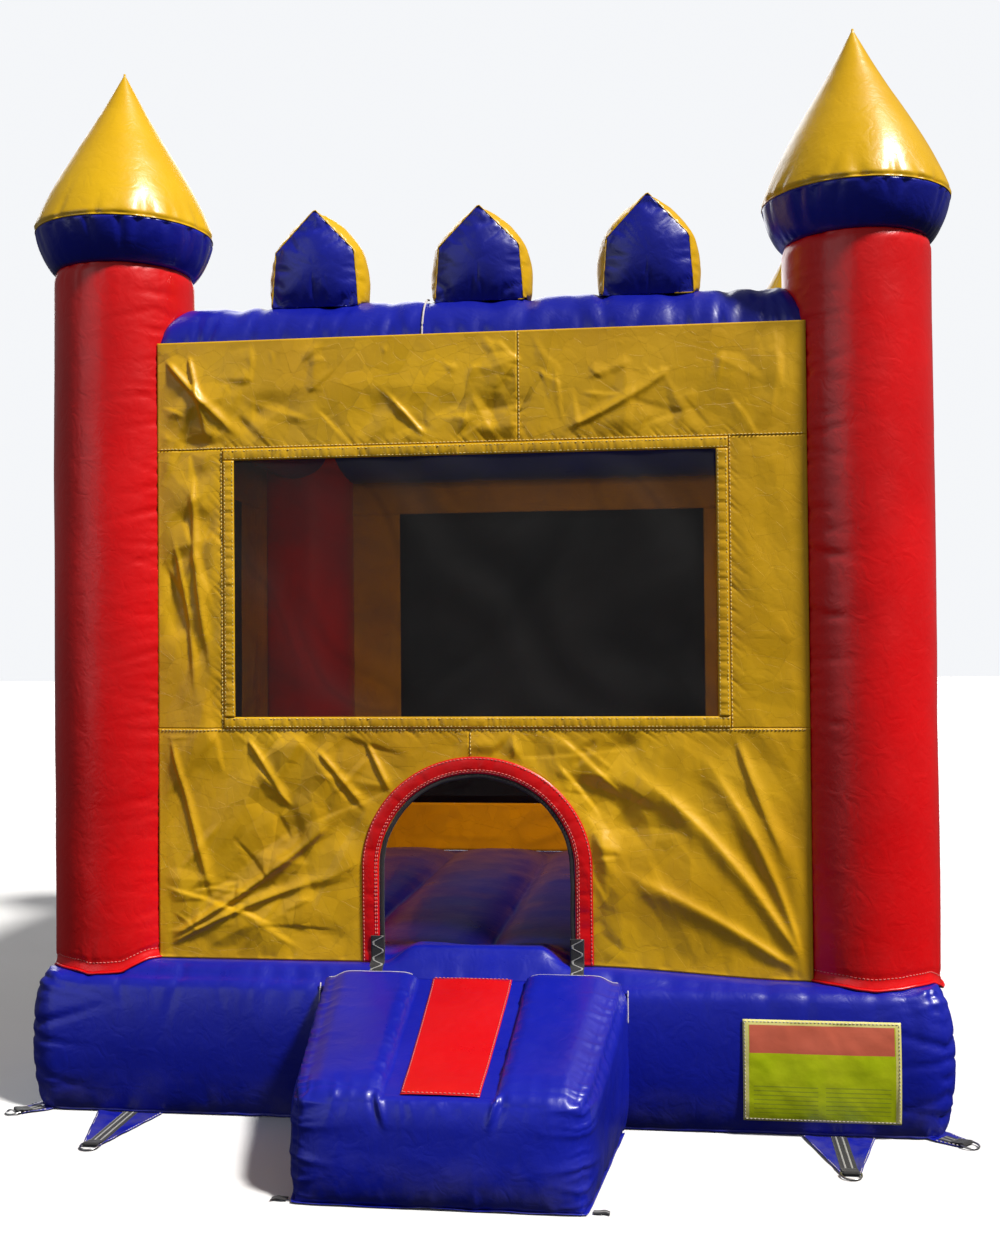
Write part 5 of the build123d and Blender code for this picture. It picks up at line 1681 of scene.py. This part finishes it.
SLEEVE_X, SLEEVE_Z, SLEEVE_R, SLEEVE_LENGTH = -0.700, 0.125, 0.120, 0.450
a = round_angles(120)
s = np.linspace(0.002, 1, 60)
angle, along = np.meshgrid(a, s, indexing="xy")
tie_at = 0.8 + 0.0275
squeeze = 0.0015 * np.exp(-((along - tie_at) / 0.06) ** 2)
relief = gathers(angle * SLEEVE_R, np.abs(along - tie_at) * SLEEVE_LENGTH, 1000, TAU * SLEEVE_R,
                 0.030, 0.004, 0.07)
relief += gathers(along * SLEEVE_LENGTH, turned(angle, math.pi / 2) * SLEEVE_R * 0.4, 1005, 0.46,
                  0.05, 0.004, 0.12)
relief += gathers(angle * SLEEVE_R, along * SLEEVE_LENGTH, 1007, TAU * SLEEVE_R, 0.035, 0.004, 0.06)
relief += 0.002 * layered(np.stack([np.cos(angle) * 0.12, along * 0.45, np.sin(angle) * 0.12], -1),
                          0.08, 1010) - 0.002
r = SLEEVE_R + np.minimum(relief, 0) - squeeze
rows = np.stack([SLEEVE_X + r * np.cos(angle), BASE_HALF + along * SLEEVE_LENGTH,
                 SLEEVE_Z + r * np.sin(angle)], -1)
rows[..., 2] = np.maximum(rows[..., 2], 0.0052)
radial = rows - np.array([SLEEVE_X, 0, SLEEVE_Z])
radial[..., 1] = 0
radial /= np.linalg.norm(radial, axis=-1)[..., None]
points, faces = slab(rows.reshape(-1, 3), [grid_quads(60, 120, wrap_m=True)],
                     (-radial * 0.0015).reshape(-1, 3))
sleeve = piece("sleeve_tube", points, faces, BLUE, slot="blue_vinyl", replaces=["inflation_sleeve"])
band_y = BASE_HALF + 0.8 * SLEEVE_LENGTH + 0.0125
a = np.linspace(0, TAU, 121)[:-1]
v = np.linspace(-1, 1, 9)
angle, across = np.meshgrid(a, v, indexing="xy")
r = SLEEVE_R + 0.0012 + 0.0006 * (1 - across**2)
rows = np.stack([SLEEVE_X + r * np.cos(angle), band_y + across * 0.0122, SLEEVE_Z + r * np.sin(angle)], -1)
radial = np.stack([np.cos(angle), 0 * angle, np.sin(angle)], -1)
points, faces = slab(rows.reshape(-1, 3), [grid_quads(9, 120, wrap_m=True)], (radial * 0.0014).reshape(-1, 3))
piece("sleeve_band", points, faces, WEBBING, slot="black_webbing", replaces=["sleeve_tie"])

x, z = np.meshgrid(np.linspace(*ZIP_X, 160), np.linspace(-0.016, 0.016, 9), indexing="ij")
points = np.stack([x, BASE_HALF + 0.0003 + 0.0002 * noise(flat3(x, z), 0.03, 1020), ZIP_Z + z],
                  -1).reshape(-1, 3)
points, faces = slab(points, [grid_quads(160, 9)], np.array([0, 0.0013, 0]))
piece("zip_tapes", points, faces, TAPE, slot="zip_tape", replaces=["zip_tape"])
# Two rows of teeth, with a gap where the slider stands at rest.
TOOTH_PITCH, SLIDER_X = 0.0042, 0.483
teeth = []
for i, cx in enumerate(np.arange(ZIP_X[0] + 0.006, ZIP_X[1] - 0.005, TOOTH_PITCH)):
    cz = ZIP_Z + (0.0011 if i % 2 else -0.0011)
    hx, hy, hz = 0.0013, 0.0004, 0.0028
    corners8 = np.array([(cx + sx * hx * (0.7 if outer else 1), BASE_HALF + 0.0016 + outer * 2 * hy,
                          cz + sz * hz * (0.8 if outer else 1))
                         for sx in (-1, 1) for outer in (0, 1) for sz in (-1, 1)])
    box_faces = np.array([(0, 1, 3, 2), (4, 6, 7, 5), (0, 4, 5, 1), (2, 3, 7, 6), (0, 2, 6, 4), (1, 5, 7, 3)])
    if abs(cx - SLIDER_X) > 0.0135:
        teeth.append((corners8, box_faces))
piece("zip_teeth", *joined(*teeth), TAPE, slot="zip_tape")

# ---- Small things the photograph shows ----

# White thread tie on the front beam, beside the middle merlon.
a = np.linspace(math.radians(175), math.radians(96), 24)
r = BEAM_R + 0.0008
line = np.stack([np.full(24, -0.172), -COLUMN_Y + r * np.cos(a), BEAM_Z + crowned(r * np.sin(a))], -1)
piece("beam_thread", *tube(line, 0.0032, 8), PALE_THREAD, slot="blue_vinyl")

# ---- Materials of the CAD nodes that stay ----

for node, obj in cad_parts.items():
    if obj.hide_render:
        continue
    finish = {"d_ring": STEEL, "zip_sl": ZIP_METAL, "zip_pu": ZIP_METAL}.get(node[:6], INNER)
    obj.data.materials.clear()
    obj.data.materials.append(finish)
    for polygon in obj.data.polygons:
        polygon.material_index = 0

# ---- Floor, light and world ----

floor_mesh = bpy.data.meshes.new("floor")
FLOOR, FLOOR_Z = 60.0, -0.0015
AMBIENT, FROM_BELOW, BACKDROP = 0.16, 0.03, 0.95
floor_corners = ((-1, -1), (1, -1), (1, 1), (-1, 1))
floor_mesh.from_pydata([(FLOOR * a, FLOOR * b, FLOOR_Z) for a, b in floor_corners], [], [(0, 1, 2, 3)])
floor = bpy.data.objects.new("floor", floor_mesh)
bpy.context.scene.collection.objects.link(floor)
mat, tree, shader, where = nodes_of("floor")
pale = mixed(tree, mapped(tree, add_noise(tree, where, 0.8), 0.0, 1.0), (0.80, 0.80, 0.80),
             (0.84, 0.84, 0.84))
# Where the floor is seen through a window net it is painted near black: painted shade for the ground behind
# the nets.
rays = tree.nodes.new("ShaderNodeLightPath")
shade_painted_behind_nets = calculated(tree, "GREATER_THAN", rays.outputs["Transparent Depth"], 0.5)
tree.links.new(mixed(tree, shade_painted_behind_nets, pale, (0.01, 0.01, 0.01)), shader.inputs["Base Color"])
shader.inputs["Roughness"].default_value = 0.9
floor_mesh.materials.append(mat)
floor.visible_diffuse = False
floor.visible_glossy = False

world = bpy.data.worlds.new("studio")
world.use_nodes = True
tree = world.node_tree
sky = tree.nodes["Background"]
sky.inputs["Color"].default_value = (0.96, 0.975, 1.0, 1)
rays = tree.nodes.new("ShaderNodeLightPath")
clear = calculated(tree, "LESS_THAN", rays.outputs["Transparent Depth"], 0.5)
seen = times(tree, rays.outputs["Is Camera Ray"], clear)
way = tree.nodes.new("ShaderNodeTexCoord")
dim = mapped(tree, part_of(tree, way.outputs["Generated"], "Z"), FROM_BELOW, AMBIENT, -0.25, 0.15)
tree.links.new(calculated(tree, "MAXIMUM", dim, times(tree, seen, BACKDROP)), sky.inputs["Strength"])
bpy.context.scene.world = world


def lamp(name, kind, place, target, power, colour, **how):
    data = bpy.data.lights.new(name, kind)
    data.energy = power
    data.color = colour
    for key, value in how.items():
        setattr(data, key, value)
    obj = bpy.data.objects.new(name, data)
    obj.location = place
    obj.rotation_mode = "QUATERNION"
    obj.rotation_quaternion = (Vector(target) - Vector(place)).to_track_quat("-Z", "Y")
    obj.visible_camera = False
    bpy.context.scene.collection.objects.link(obj)
    return obj


lamp("key", "SUN", (5.76, -3.6, 10.1), (0, -0.6, 1.2), 4.95, (1.0, 0.97, 0.93), angle=math.radians(7))
lamp("fill", "SUN", (-6.0, -8.0, 4.5), (0, 0, 1.4), 0.30, (0.9, 0.95, 1.0), angle=math.radians(40))
lamp("back", "SUN", (-3.0, 8.0, 6.0), (0, 0, 1.6), 1.0, (1, 1, 1), angle=math.radians(40))
# Daylight that the thin yellow walls and the roof let through.
inside = lamp("inside", "AREA", (0.1, -0.55, 2.36), (0.0, 1.3, 0.75), 26, (1.0, 0.60, 0.43),
              shape="DISK", size=1.5, spread=math.radians(125))
inside.visible_glossy = False
bpy.context.scene.view_settings.view_transform = "Standard"
bpy.context.scene.view_settings.exposure = 0.0
